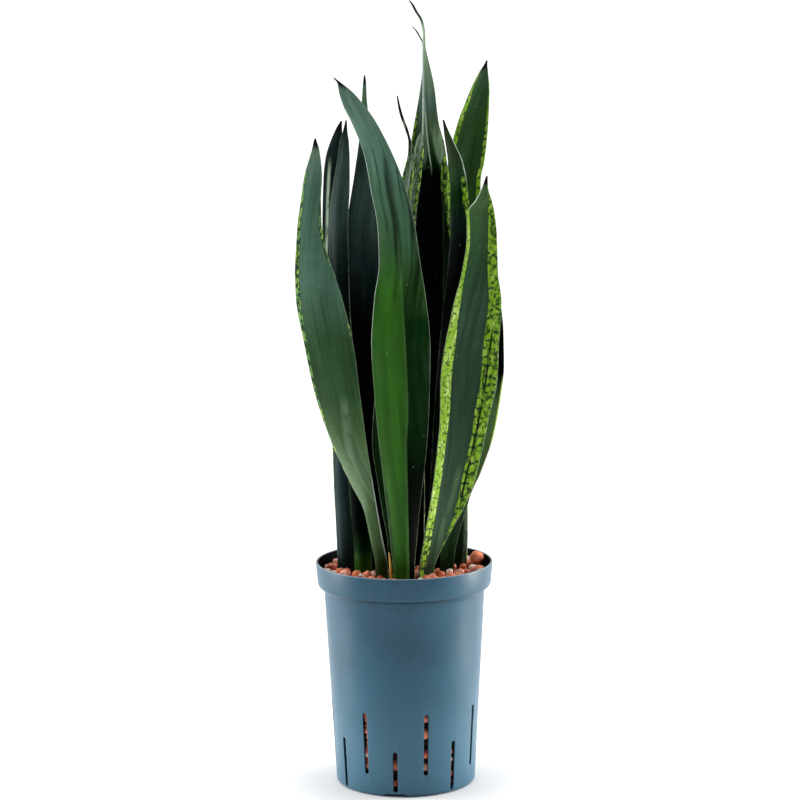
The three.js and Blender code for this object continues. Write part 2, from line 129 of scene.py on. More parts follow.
# Pebbles: radii are given as least and greatest, and BIG_PEBBLE is a place and a radius
HEAP_FLOOR = 160
HEAP_TOP = 186.4
PEBBLE_RADII = (2.6, 6.0)
PEBBLE_TRIES = 1200
PEBBLE_SPOTS = 14
PEBBLE_DETAIL = 3
PEBBLE_SINK = 0.94
PEBBLE_SQUASH = ((0.9, 1.1), (0.88, 1.06), (0.8, 1.0))
PEBBLE_SPIN = ((-0.5, 0.5), (-0.5, 0.5), (0, 6.28))
FOOT_LEVEL = 178
FOOT_HALF_THICKNESS = 3.4
BIG_PEBBLE = (62.0, 20, 187.6, 6.0)
BIG_PEBBLE_TONE = (0.42, 0.2, 0.5)
SLOT_PEBBLE_RADII = (3.0, 5.0)
SLOT_PEBBLE_START = 6
SLOT_PEBBLE_BEYOND = 3
SLOT_GAPS = (2.4, 2.8, 1.25, 4.4, 3.1, 1.4, 2.8)
BED_LEVELS = (8, 80, 150)
BED_GAP = 8
BED_TOP_GAP = 1
BED_TOP_RADIUS = 66

# Leaves: thickness along the middle and at the margins, the margins' gentle wave, and the steps of the mesh
LEAF_BOTTOM = 130
THICK_AT_BASE = 6
THICK_AT_TIP = 1.1
THICK_SWELL = 1.2
THICK_FOR_HALF_WIDTH = 0.6
THICK_LEAST = 0.8
MARGIN_THICKNESS = 1
MARGIN_THINNING = 0.8
MARGIN_ROUNDING = 0.8
MARGIN_BLUNTNESS = 0.3
CHANNEL_POWER = 1.6
FULL_CHANNEL_HALF_WIDTH = 6
FULL_WAVE_HALF_WIDTH = 12
WAVE_HEIGHT = 1.2
WAVE_LENGTH = 95
RIDGE_PITCH = 0.9
RIDGE_SWAY = 0.013
LEAF_STEP = 3.2
TIP_LENGTH = 14
TIP_CUTS = 12
ACROSS_COUNT = 25


def srgb(red, green, blue):
    """A colour given in the usual 0 to 255 values, as the linear values that shaders take."""
    linear = []
    for value in (red, green, blue):
        share = value / 255
        linear.append(share / 12.92 if share <= 0.04045 else ((share + 0.055) / 1.055) ** 2.4)
    return (*linear, 1.0)


# How each leaf stands. The three values of depth, turn and channel are at its base, its middle and its tip:
# the depth of the middle of the leaf, how far it is turned about the vertical in degrees, and how deep its
# channel is for its half width. A positive channel shows its hollow side to the front, and a negative one
# its rounded back.
# Each row of edges is a level cut: its height, and its left and right margins as seen from the front.
LEAVES = {
    "leaf_front_middle": {
        "depth": (-38, -50, -45),
        "turn": (0, -6, -6),
        "channel": (-0.5, -0.24, -0.2),
        "edges": [
            (130, -9, 9), (186, -9.2, 8.6), (220, -11.8, 11), (260, -16, 15.3), (300, -20.1, 19.8),
            (340, -23.4, 22), (380, -25.5, 22.9), (420, -22.7, 19.5), (448, -18.6, 15.3),
            (477, -19.4, 11.4), (508, -24.6, 4.3), (537, -29.8, -6.5), (564, -40, -20), (577, -46.4, -29),
            (589, -50, -39.5), (595, -50.8, -47), (600, -54.6, -53.4),
        ],
    },
    "leaf_front_left": {
        "depth": (-24, -37, -33),
        "turn": (-52, -14, -10),
        "channel": (-0.4, -0.16, -0.18),
        "edges": [
            (130, -24, -14), (185, -23, -13.5), (220, -28.9, -18.7), (240, -33.5, -21.9),
            (260, -43.5, -25), (300, -61, -30.6), (340, -73.2, -35.4), (380, -81.1, -40.3),
            (420, -87.6, -49.5), (440, -88, -55.5), (460, -86.8, -62.5), (480, -85.2, -65.5),
            (500, -82.2, -65.7), (520, -79, -64.6), (540, -73, -66.5), (550, -70.6, -69.4),
        ],
    },
    "leaf_front_right": {
        "depth": (-27, -45, -42),
        "turn": (33, 13, 10),
        "channel": (0.4, 0.24, 0.22),
        "edges": [
            (130, 12, 25), (185, 12.4, 25), (210, 16, 34.5), (235, 20.1, 47.6), (260, 24, 58.3),
            (298, 28.5, 67.2), (320, 30.4, 71.5), (350, 31, 78), (385, 35.6, 79.8), (400, 39, 81.5),
            (415, 42.3, 81.7), (440, 49, 78.8), (470, 53.3, 78.1), (490, 53.4, 76), (499, 60.4, 73.9),
            (510, 66, 70.9), (519, 69.4, 70.6),
        ],
    },
    "leaf_short_olive": {
        "depth": (-19, -27, -30),
        "turn": (0, 16, 20),
        "channel": (-0.4, -0.25, -0.2),
        "edges": [
            (130, -13, 4), (185, -13, 5), (210, -13.8, 6), (236, -17.9, 8), (261, -21.4, 9),
            (298, -26, 9), (320, -24.7, 8), (360, -20, 5), (400, -12, 2), (420, -7, -1),
            (432, -4.6, -3.4),
        ],
    },
    "leaf_short_right": {
        "depth": (-11, -20, -22),
        "turn": (20, 30, 30),
        "channel": (0.35, 0.22, 0.2),
        "edges": [
            (130, 30, 42), (185, 30, 42), (245, 38, 55.4), (268, 43, 65.4), (298, 48, 75.6),
            (328, 52, 81.2), (358, 55, 84.6), (388, 60, 84.1), (410, 66, 82), (430, 72, 79.5),
            (442, 76.1, 77.3),
        ],
    },
    "leaf_middle_right": {
        "depth": (0, -9, -14),
        "turn": (5, 26, 20),
        "channel": (0.4, 0.26, 0.2),
        "edges": [
            (130, 19.5, 34.5), (185, 19.5, 34.5), (250, 22, 44), (320, 26, 54), (400, 33, 58),
            (440, 38, 57.5), (480, 40.8, 57), (500, 41, 55.6), (510, 40.3, 54.6), (530, 38.8, 50.5),
            (540, 37.5, 46), (552, 35.8, 40.4), (558, 35.3, 37.6), (563, 34.6, 35.8),
        ],
    },
    "leaf_right": {
        "depth": (12, 27, 34),
        "turn": (8, 12, 16),
        "channel": (0.36, 0.22, 0.18),
        "edges": [
            (130, 36, 52.5), (180, 36, 53.1), (209, 36, 54.5), (235, 36, 54.6), (320, 37, 62),
            (400, 37, 66), (460, 36.5, 66), (510, 37.5, 67.2), (524, 39.5, 70.2), (547, 44.8, 72.9),
            (563, 49.7, 74), (571, 53, 74.4), (585, 58.8, 74.8), (600, 66.5, 73.5), (606, 70.6, 72.9),
            (609, 72, 73.2),
        ],
    },
    "leaf_behind_front": {
        "depth": (12, 10, 6),
        "turn": (-5, 14, 16),
        "channel": (-0.35, -0.24, -0.2),
        "edges": [
            (130, -29, -13), (185, -29, -13), (250, -34, -11), (320, -41, -8), (400, -45.5, -12),
            (440, -46.5, -15), (470, -46, -18), (489, -43.5, -20), (520, -38.3, -22), (548, -34.3, -24),
            (580, -31.8, -27.8), (593, -30.8, -28.2), (599, -30, -28.9),
        ],
    },
    "leaf_narrow_tip": {
        "depth": (-1, -10, -13),
        "turn": (0, -14, -10),
        "channel": (0.35, 0.2, 0.15),
        "edges": [
            (130, -12, 2), (185, -12, 2), (250, -14, 2), (320, -18, 2), (400, -18, 2), (440, -15, 3),
            (500, -3.5, 8), (521, 2.3, 10.5), (537, 6, 11.2), (545, 6.3, 8.8), (555, 3.8, 6.2),
            (563, 0.8, 3.2), (569, -1, 1.3), (577, -2.4, -0.7), (583, -3, -2),
        ],
    },
    "leaf_blunt_tip": {
        "depth": (8, 4, -2),
        "turn": (0, 8, 10),
        "channel": (0.4, 0.2, 0.15),
        "edges": [
            (130, 3, 17), (185, 3, 17), (250, 0, 18), (320, -4, 16), (400, -6, 13), (440, -5, 11),
            (482, 0, 12), (500, 4, 14.7), (513, 6, 16.6), (527, 9.5, 18), (537, 11.3, 18.9),
            (545, 13, 18.9), (549, 14.5, 18.4), (551.5, 16.4, 17.9),
        ],
    },
    "leaf_tallest": {
        "depth": (21, 18, 12),
        "turn": (0, -6, -8),
        "channel": (0.4, 0.44, 0.5),
        "edges": [
            (130, 6, 22), (185, 5.5, 22.5), (250, 3, 27), (320, 2, 33), (400, 5, 40), (440, 9, 43),
            (460, 10.4, 42.6), (480, 12, 40), (500, 13.8, 38.9), (520, 15.6, 38.6), (540, 17.2, 36.4),
            (557, 18, 32), (569, 18.4, 30.4), (586, 18.5, 28.6), (603, 18.5, 25.3), (614, 18.5, 22.7),
            (625, 18.7, 20.9), (632, 19, 21), (638, 18.3, 20.4), (644, 16.6, 18.9), (650, 12.9, 15.2),
            (657, 9.4, 11.2), (660, 7.4, 8.6),
        ],
    },
    "leaf_back": {
        "depth": (33, 46, 50),
        "turn": (0, -12, -16),
        "channel": (0.35, 0.28, 0.24),
        "edges": [
            (130, -10, 7), (185, -10.5, 6.5), (250, -12, 12), (320, -12, 20), (400, -8, 27), (460, 0, 31),
            (500, 5, 32), (535, 8.2, 31), (550, 10.5, 29), (565, 13.3, 27), (584, 16.6, 25),
            (603, 19, 22.6),
            (612, 19.3, 21.6), (623, 18.6, 20.1), (629, 15.7, 17.2), (634, 12.7, 14.1), (637, 9.7, 10.8),
        ],
    },
    "leaf_left_front": {
        "depth": (-2, 0, 4),
        "turn": (-10, -34, -28),
        "channel": (-0.35, -0.2, -0.16),
        "edges": [
            (130, -42, -27.3), (190, -42, -27.3), (230, -44, -29), (280, -48, -31), (340, -54, -37),
            (400, -59, -43), (440, -60.2, -44), (463, -60, -44.2), (489, -59.2, -43.7), (505, -57, -42.7),
            (530, -52.6, -42.4), (545, -50.4, -43), (554, -47.5, -44.2), (562, -45.6, -44.5),
        ],
    },
    "leaf_left_back": {
        "depth": (9, 23, 28),
        "turn": (-28, -34, -26),
        "channel": (-0.35, -0.2, -0.16),
        "edges": [
            (130, -56, -42), (187, -56.5, -42), (212, -57.3, -42.2), (250, -59, -42.6), (290, -60.2, -43),
            (350, -64, -45), (400, -66.5, -46), (450, -67, -46.5), (490, -66, -46.8), (515, -64.8, -47.5),
            (530, -62.8, -48), (544, -58.3, -48.6), (555, -53.2, -49), (560, -50, -48.9),
        ],
    },
}

DRY_SHEATH = {
    "depth": (-43, -43, -43),
    "turn": (-20, -20, -20),
    "channel": (0, 0, 0),
    "edges": [(165, -11.6, -9.4), (182, -11.9, -9.7), (196, -12.6, -10.6), (206, -13, -12)],
}

# Leaf colours, from the darkest
# Near black: painted deep shade, and also the colour of one real dark line
DEEP_SHADE_AND_DARK_LINE = srgb(2, 6, 3)
INK = srgb(9, 20, 18)
DUSK = srgb(40, 44, 42)
NAVY = srgb(24, 38, 40)
SLATE = srgb(42, 60, 54)
PINE = srgb(16, 38, 16)
# Painted shade on green parts that lie in shade
SHADOW_GREEN = srgb(4, 36, 6)
DEEP_OLIVE = srgb(28, 54, 12)
OLIVE = srgb(36, 50, 26)
BOTTLE = srgb(26, 56, 34)
LAWN = srgb(28, 62, 18)
FERN = srgb(32, 62, 34)
FOREST = srgb(38, 70, 36)
SEA_GREEN = srgb(40, 68, 48)
GRASS = srgb(38, 84, 16)
MOSS = srgb(58, 86, 46)
TEAL = srgb(66, 97, 80)
SAGE = srgb(82, 108, 74)
MIST = srgb(90, 118, 104)
REED = srgb(102, 126, 98)
SILVER = srgb(146, 166, 142)
SPECK = srgb(150, 168, 156)

# The colours of the margins, the lime bands and the tips
EDGE = srgb(120, 140, 112)
WHITE_EDGE = srgb(176, 192, 180)
BUFF_EDGE = srgb(196, 184, 160)
MARK = srgb(14, 38, 20)
DARK_LIME = srgb(66, 104, 16)
PALE_LIME = srgb(158, 192, 74)
LIMES = (srgb(114, 162, 22), PALE_LIME)
DULL_LIMES = (srgb(100, 148, 84), PALE_LIME)
BRIGHT_LIMES = (srgb(134, 178, 46), srgb(188, 214, 116))
CREAM_LIMES = (srgb(132, 176, 50), srgb(206, 226, 150))
TIP_BROWN = srgb(24, 17, 14)

# The looks of each leaf. A place is a height and an x as seen from the front, and a strength is from 0 to 1.
# ramp: the leaf's colours by height, whose near-black stops are painted shade where the leaf lies deep in
# the clump.
# fold: a line of places. beyond: the colours by height on its right, painted light and shade that differ
# across the fold.
# left, right: a lime band along that margin, as its widths by height, its net and its two colours.
#   A net is the size of the cells across and along the leaf, the width of the dark lines between them,
#   how much of the lime is dark, and the lines' width near the pot.
# wobble: how far a band's inner edge strays, in band widths.
# lines: drawn lines, each as its places, its width, its colour and its strength; some are painted highlights
# and some painted shade.
# margins: pale edges, each as its side, its lowest and highest point, its width and its colour.
# rim: the strength of the thin pale rim along both margins.
# streaks: how strong the fine streaks are, for that of a plain leaf.
# folds: the strength of the painted shade and light along the lengthwise folds. furrows: two heights between
# which they show fully.
# flecks: the strength of short pale and dark flecks on the upper part.
# ridges: the height of the ridges in the leaf's mesh.
# gloss: the shine of the wax. dry: the strength of the dried tip.
PLAIN = [(130, 0.0), (660, 0.0)]
FAR_LINE = [(130, 999), (660, 999)]
LOOKS = {
    "leaf_front_middle": {
        "ramp": [(425, GRASS), (460, FOREST), (525, TEAL), (600, MIST)],
        "fold": [(130, 3), (300, 3), (325, 4.5), (430, 0.7), (480, -3), (540, -12), (600, -30)],
        "beyond": [(270, DEEP_SHADE_AND_DARK_LINE), (320, SHADOW_GREEN), (400, SHADOW_GREEN), (424, LAWN), (448, FOREST),
                   (520, TEAL), (600, MIST)],
        # Painted shade on the left of the base
        "lines": [([(150, -9.5), (190, -10), (215, -12), (245, -15), (262, -17)], 6.5, SHADOW_GREEN, 0.85)],
        "margins": [("left", 371, 545, 0.55, WHITE_EDGE)],
        "folds": 0.7, "furrows": (440, 520), "ridges": 0.16, "gloss": 0.08,
    },
    "leaf_front_left": {
        "ramp": [(194, DEEP_OLIVE), (212, MOSS), (235, MOSS), (262, SAGE), (282, SAGE), (305, MOSS),
                 (335, FOREST), (385, FOREST), (430, TEAL), (510, TEAL), (530, MIST), (550, REED)],
        "left": ([(130, 0.0), (230, 0.0), (250, 1.6), (320, 2.4), (380, 3.0), (410, 4.2), (450, 3.8),
                  (500, 2.2), (530, 0.8), (550, 0.1)], (3.4, 11, 0.2, 0.1, 0.3), DULL_LIMES),
        "right": ([(130, 0.0), (370, 0.0), (395, 1.2), (412, 0.0), (438, 0.2), (455, 1.9), (485, 2.0),
                   (502, 0.8), (530, 0.3)], (3, 7, 0.3, 0.3, 0.3), DULL_LIMES),
        # A painted highlight along the fold
        "lines": [([(240, -29), (262, -34), (290, -42), (335, -48)], 5, REED, 0.6)],
        "margins": [("right", 200, 268, 0.8, WHITE_EDGE)],
        "furrows": (130, 400),
    },
    "leaf_front_right": {
        "ramp": [(130, MOSS), (215, SEA_GREEN), (325, BOTTLE), (400, SEA_GREEN), (450, FERN), (519, MOSS)],
        "left": ([(130, 4.2), (185, 5.0), (210, 6.8), (298, 7.2), (350, 9.6), (384, 9), (400, 7),
                  (421, 5.2), (436, 3.2), (480, 2.4), (500, 0.8), (519, 0.1)],
                 (4, 7, 0.05, 0.1, 0.24), BRIGHT_LIMES),
        "right": ([(130, 0.2), (200, 0.6), (223, 3), (248, 8), (273, 11), (298, 11), (340, 13.2),
                   (395, 11.8), (436, 8.4), (470, 7.0), (490, 4.5), (505, 1.0), (519, 0.1)],
                  (5.5, 8, 0.11, 0.35, 0.14), LIMES),
        "wobble": 0.14,
        # The first line is a painted highlight, and the second a dark line in the band
        "lines": [([(205, 30), (225, 34), (250, 42), (275, 48)], 4, SAGE, 0.6),
                  ([(240, 47.5), (273, 54.5), (299, 59.9), (320, 64.1), (336, 67.3), (368, 71.6),
                    (394, 74.8)], 1.3, DEEP_SHADE_AND_DARK_LINE, 1.0)],
        "margins": [("left", 494, 510, 1.0, WHITE_EDGE)],
    },
    "leaf_short_olive": {
        "ramp": [(130, DEEP_OLIVE), (260, SHADOW_GREEN), (432, DEEP_OLIVE)],
        "gloss": 0.06,
    },
    "leaf_short_right": {
        "ramp": [(230, PINE), (280, MOSS), (325, MOSS), (350, DEEP_SHADE_AND_DARK_LINE), (442, DEEP_SHADE_AND_DARK_LINE)],
        "lines": [([(130, 55.2), (180, 55.4), (240, 55.6), (270, 56)], 0.7, SILVER, 0.7)],
        "margins": [("right", 292, 346, 1.7, PALE_LIME), ("right", 250, 292, 1.1, BUFF_EDGE)],
        "rim": 0.1, "gloss": 0.06,
    },
    "leaf_middle_right": {
        "ramp": [(450, DEEP_SHADE_AND_DARK_LINE), (475, INK), (504, SHADOW_GREEN), (518, FERN), (532, OLIVE)],
        "right": ([(130, 0.0), (466, 0.0), (482, 3.2), (500, 5), (512, 4.6), (524, 0.8), (563, 0.1)],
                  (3, 7, 0.14, 0.3, 0.3), LIMES),
        "margins": [("right", 514, 550, 0.9, WHITE_EDGE)],
        "rim": 0.2, "gloss": 0.06,
    },
    "leaf_right": {
        "ramp": [(210, PINE), (260, DEEP_SHADE_AND_DARK_LINE), (330, SHADOW_GREEN), (400, DEEP_OLIVE), (500, LAWN), (560, LAWN),
                 (585, FOREST), (609, SEA_GREEN)],
        "left": ([(130, 0.0), (300, 1.0), (400, 3), (520, 4.4), (570, 3.6), (590, 1.2), (609, 0.1)],
                 (4, 11, 0.08, 0.25, 0.2), LIMES),
        "right": ([(130, 0.0), (250, 1.0), (300, 3), (400, 3), (500, 3.6), (560, 2.0), (585, 0.8),
                   (609, 0.1)], (3.6, 9, 0.1, 0.25, 0.2), LIMES),
        "wobble": 0.35,
        # A painted highlight along the right margin near the pot
        "lines": [([(140, 51.2), (180, 51.8), (209, 53.2), (235, 53.4), (255, 53.4)], 2.6, REED, 0.85)],
    },
    "leaf_behind_front": {
        "ramp": [(380, DEEP_SHADE_AND_DARK_LINE), (405, INK), (440, NAVY), (490, SLATE), (530, SLATE), (560, SAGE),
                 (599, TEAL)],
        "rim": 0.2, "gloss": 0.07,
    },
    "leaf_narrow_tip": {
        "ramp": [(130, DEEP_SHADE_AND_DARK_LINE), (430, INK), (460, SAGE), (500, REED), (533, SAGE), (543, DUSK),
                 (583, TIP_BROWN)],
        "left": ([(130, 0.0), (455, 0.0), (475, 1.0), (508, 2.0), (526, 0.9), (532, 0.0)],
                 (3, 8, 0.3, 0.2, 0.3), LIMES),
        "right": ([(130, 0.0), (430, 0.0), (460, 1.4), (510, 1.6), (526, 0.3), (532, 0.0)],
                  (3, 8, 0.16, 0.2, 0.3), LIMES),
        "lines": [([(425, -6), (455, -2), (490, 3), (520, 7.4), (530, 9)], 1.5, SILVER, 0.9)],
        "streaks": 3.0, "folds": 0.6, "flecks": 0.75,
    },
    "leaf_blunt_tip": {
        "ramp": [(130, DEEP_SHADE_AND_DARK_LINE), (400, INK), (440, SAGE), (485, REED), (515, SAGE), (535, REED),
                 (551, SILVER)],
        "right": ([(130, 0.0), (400, 0.0), (440, 2.0), (525, 2.2), (545, 0.4)],
                  (3, 8, 0.2, 0.1, 0.3), CREAM_LIMES),
        "margins": [("left", 440, 547, 1.5, SILVER)],
        "streaks": 3.0, "folds": 0.6, "flecks": 0.75, "dry": 0.0,
    },
    "leaf_tallest": {
        "ramp": [(516, DEEP_SHADE_AND_DARK_LINE), (530, SHADOW_GREEN), (546, FERN), (566, SAGE), (610, REED), (630, SILVER),
                 (645, SLATE), (660, DUSK)],
        "fold": [(130, 36), (480, 36), (518, 34.4), (530, 29.8), (548, 25.4), (567, 21.2), (576, 19.2),
                 (660, 19)],
        "beyond": [(130, DEEP_SHADE_AND_DARK_LINE), (250, PINE), (490, PINE), (510, FERN), (524, REED), (545, REED),
                   (558, SAGE), (574, MIST), (600, REED), (640, SILVER), (660, DUSK)],
        "right": ([(130, 0.0), (400, 0.0), (424, 1.6), (465, 2.0), (496, 2.6), (504, 5.5), (522, 5.0),
                   (533, 1.2), (550, 0.5), (560, 0.0)], (2.6, 11, 0.26, 0.3, 0.3), LIMES),
        "lines": [([(524, 19.4), (540, 20), (560, 19.8), (580, 19.2)], 2.2, REED, 0.8),
                  ([(520, 24.8), (536, 22.6), (558, 20.8), (576, 19.8)], 0.9, WHITE_EDGE, 0.9)],
        "margins": [("left", 522, 630, 1.4, WHITE_EDGE)],
        "rim": 0.5, "streaks": 3.2, "folds": 0.5, "gloss": 0.05,
    },
    "leaf_back": {
        "ramp": [(450, DEEP_SHADE_AND_DARK_LINE), (500, SHADOW_GREEN), (545, FOREST), (572, MIST), (605, MIST), (637, DUSK)],
        "left": ([(130, 0.0), (440, 0.0), (480, 1.8), (556, 1.9), (566, 1.0), (574, 0.0)],
                 (2.6, 7, 0.18, 0.3, 0.3), LIMES),
        "streaks": 3.0,
    },
    "leaf_left_front": {
        "ramp": [(187, GRASS), (200, SHADOW_GREEN), (218, DEEP_SHADE_AND_DARK_LINE), (330, DEEP_SHADE_AND_DARK_LINE), (430, INK), (480, SLATE),
                 (530, SLATE), (562, INK)],
        "gloss": 0.05,
    },
    "leaf_left_back": {
        "ramp": [(130, INK), (200, NAVY), (270, NAVY), (330, INK), (520, INK), (545, NAVY), (560, INK)],
        "left": ([(130, 0.0), (195, 1.0), (240, 2.2), (310, 2.4), (330, 0.2), (400, 0.0), (440, 1.0),
                  (462, 2.0), (480, 0.3)], (3, 6, 0.3, 0.2, 0.3), LIMES),
        "lines": [([(445, -62.2), (458, -61.7), (494, -60.6), (524, -58.8)], 2.4, SILVER, 0.8),
                  ([(150, -44), (230, -44.6), (300, -45.4)], 1.0, FERN, 0.5)],
        "gloss": 0.05,
    },
}

# Pot, pebble, sheath and rhizome colours
PLASTIC = (srgb(20, 66, 88), srgb(27, 74, 97))
# Painted light on the lower wall
PAINTED_LIGHT_LOW = srgb(60, 104, 127)
PLASTIC_HAZE = srgb(60, 100, 122)
PLASTIC_SCUFF = srgb(130, 150, 160)
# A painted highlight along the lip
LIP_HIGHLIGHT = srgb(150, 170, 182)
# Painted shade under the rim band
RIM_SHADOW = srgb(4, 12, 18)
# Painted shade inside the pot
INSIDE_SHADE = srgb(3, 6, 8)
CLAYS = [
    (0.0, srgb(128, 48, 38)), (0.22, srgb(208, 98, 70)), (0.45, srgb(255, 160, 112)),
    (0.62, srgb(240, 134, 116)), (0.8, srgb(252, 190, 168)), (1.0, srgb(255, 236, 224)),
]
CLAY_PIT = srgb(58, 28, 22)
CLAY_POWDER = srgb(206, 178, 164)
# Painted shade: the hidden pebbles under those on top
BED_SHADE = (srgb(30, 17, 13), srgb(84, 44, 32))
STRAW = (srgb(206, 170, 66), srgb(150, 98, 36))
ROOT = (srgb(206, 168, 104), srgb(150, 104, 54))


def smooth(rows, z):
    """Values at heights z, on a curve through rows of (height, value) that never swings past them."""
    heights = np.array([row[0] for row in rows], float)
    values = np.array([row[1] for row in rows], float)
    slopes = np.diff(values) / np.diff(heights)
    tangents = np.zeros(len(rows))
    tangents[0] = slopes[0]
    tangents[-1] = slopes[-1]
    for i in range(1, len(rows) - 1):
        if slopes[i - 1] * slopes[i] > 0:
            tangents[i] = 2 * slopes[i - 1] * slopes[i] / (slopes[i - 1] + slopes[i])
    z = np.clip(z, heights[0], heights[-1])
    i = np.clip(np.searchsorted(heights, z, side="right") - 1, 0, len(rows) - 2)
    span = heights[i + 1] - heights[i]
    t = (z - heights[i]) / span
    start = (2 * t**3 - 3 * t**2 + 1) * values[i] + (t**3 - 2 * t**2 + t) * span * tangents[i]
    end = (3 * t**2 - 2 * t**3) * values[i + 1] + (t**3 - t**2) * span * tangents[i + 1]
    return start + end


def leaf_cuts(leaf, z):
    """Where a leaf is at heights z, and how it is turned and channelled there."""
    tip = leaf["edges"][-1][0]
    heights = (POT_HEIGHT, (POT_HEIGHT + tip) / 2, tip)
    left = smooth([(row[0], row[1]) for row in leaf["edges"]], z)
    right = smooth([(row[0], row[2]) for row in leaf["edges"]], z)
    turn = np.radians(smooth(list(zip(heights, leaf["turn"])), z))
    half = (right - left) / 2 / np.cos(turn)
    depth = smooth(list(zip(heights, leaf["depth"])), z)
    channel = smooth(list(zip(heights, leaf["channel"])), z) * np.minimum(1, half / FULL_CHANNEL_HALF_WIDTH)
    return (left + right) / 2, half, depth, turn, channel


def flesh(leaf, z, s):
    """The middle of a leaf's flesh, for s from -1 at the left margin to 1 at the right one."""
    middle, half, depth, turn, channel = leaf_cuts(leaf, z)
    away = channel * half * (1 - np.abs(s) ** CHANNEL_POWER)
    size = np.minimum(1, half / FULL_WAVE_HALF_WIDTH)
    phase = leaf["edges"][0][1] + s
    wave = WAVE_HEIGHT * size * np.abs(s) ** 3 * np.sin(2 * math.pi * z / WAVE_LENGTH + phase)
    x = middle + s * half * np.cos(turn) - away * np.sin(turn)
    y = depth + s * half * np.sin(turn) + (away + wave) * np.cos(turn)
    return x, y


def thickness(leaf, z, s):
    """The leaf's thickness, which is least at the margins and the tip, with the margins rounded."""
    tip = leaf["edges"][-1][0]
    left = np.clip((tip - z) / (tip - LEAF_BOTTOM), 0, 1)
    half = leaf_cuts(leaf, z)[1]
    full = THICK_AT_TIP + (THICK_AT_BASE - THICK_AT_TIP) * left**1.5 + THICK_SWELL * left
    middle = np.minimum(full, THICK_FOR_HALF_WIDTH * half + THICK_LEAST)
    flat = np.maximum(middle * (1 - MARGIN_THINNING * s * s), np.minimum(MARGIN_THICKNESS, middle))
    into_margin = np.clip(half * (1 - np.abs(s)) / MARGIN_ROUNDING, 0, 1)
    return flat * (MARGIN_BLUNTNESS + (1 - MARGIN_BLUNTNESS) * np.sqrt(1 - (1 - into_margin) ** 2))


def mesh_object(name, points, faces):
    """A smooth shaded mesh object from points in millimetres."""
    mesh = bpy.data.meshes.new(name)
    mesh.from_pydata((np.asarray(points, float) * MM).tolist(), [], faces)
    builder = bmesh.new()
    builder.from_mesh(mesh)
    bmesh.ops.recalc_face_normals(builder, faces=builder.faces)
    builder.to_mesh(mesh)
    builder.free()
    mesh.shade_smooth()
    made = bpy.data.objects.new(name, mesh)
    bpy.context.scene.collection.objects.link(made)
    return made


def set_vectors(made, name, values):
    """Stores three numbers at each point of a mesh for its material to read."""
    attribute = made.data.attributes.new(name, "FLOAT_VECTOR", "POINT")
    attribute.data.foreach_set("vector", np.asarray(values, np.float32).ravel())


def leaf_faces(rows, count):
    """The faces of a leaf of level cuts, each with count points on its front and count on its back."""
    size = 2 * count
    faces = []
    for k in range(rows - 1):
        for i in range(size):
            j = (i + 1) % size
            faces.append((k * size + i, k * size + j, (k + 1) * size + j, (k + 1) * size + i))
    top = (rows - 1) * size
    for a in range(count - 1):
        b = a + 1
        c = size - 2 - a
        d = size - 1 - a
        faces.append((a, d, c, b))
        faces.append((top + a, top + b, top + c, top + d))
    return faces


def band_widths(look, side, z):
    """The width of the lime band along one margin at heights z, never quite nothing, as it divides."""
    return np.maximum(0.02, smooth(look[side][0] if side in look else PLAIN, z))


def leaf_places(leaf, look, z, across):
    """What a leaf's material reads: distances from its margins, from its bands and from its drawn lines."""
    tip = leaf["edges"][-1][0]
    middle, half, _, turn, _ = leaf_cuts(leaf, z)
    left = half * (1 + across)
    right = half * (1 - across)
    paths = [look.get("fold", FAR_LINE)] + [line[0] for line in look.get("lines", [])]
    paths += [FAR_LINE] * (3 - len(paths))
    in_band_left = left / band_widths(look, "left", z)
    in_band_right = right / band_widths(look, "right", z)
    return {
        "leaf_place": (left, right, z),
        "leaf_band": (in_band_left, in_band_right, (tip - z) / 10),
        "leaf_lines": [across * half - (smooth(path, z) - middle) / np.cos(turn) for path in paths],
    }


def leaf_object(name, leaf, look):
    """One leaf: level cuts from the buried end to the tip, with both faces and rounded margins."""
    bottom = leaf["edges"][0][0]
    tip = leaf["edges"][-1][0]
    heights = np.concatenate([
        np.arange(bottom, tip - TIP_LENGTH, LEAF_STEP),
        np.linspace(tip - TIP_LENGTH, tip, TIP_CUTS),
    ])
    s = np.sin(np.linspace(-math.pi / 2, math.pi / 2, ACROSS_COUNT))
    z, across = np.meshgrid(heights, s, indexing="ij")
    x, y = flesh(leaf, z, across)
    ahead = flesh(leaf, z, across + 0.02)
    behind = flesh(leaf, z, across - 0.02)
    dx = ahead[0] - behind[0]
    dy = ahead[1] - behind[1]
    length = np.hypot(dx, dy)
    out_x = dy / length
    out_y = -dx / length
    half = leaf_cuts(leaf, z)[1]
    back = 0.5 * thickness(leaf, z, across)
    seed = leaf["edges"][0][1]
    ridge = np.sin(across * half * RIDGE_PITCH + seed) * np.sin(z * RIDGE_SWAY + seed)
    front = back + look.get("ridges", 0.06) * ridge * (1 - across**4) * np.minimum(1, half / 10)
    faces_front = np.stack([x + out_x * front, y + out_y * front, z], -1)
    faces_back = np.stack([x - out_x * back, y - out_y * back, z], -1)
    points = np.concatenate([faces_front, faces_back[:, ::-1]], axis=1)
    made = mesh_object(name, points.reshape(-1, 3), leaf_faces(len(heights), ACROSS_COUNT))
    for label, parts in leaf_places(leaf, look, z, across).items():
        values = np.stack(parts, -1)
        set_vectors(made, label, np.concatenate([values, values[:, ::-1]], axis=1).reshape(-1, 3))
    return made


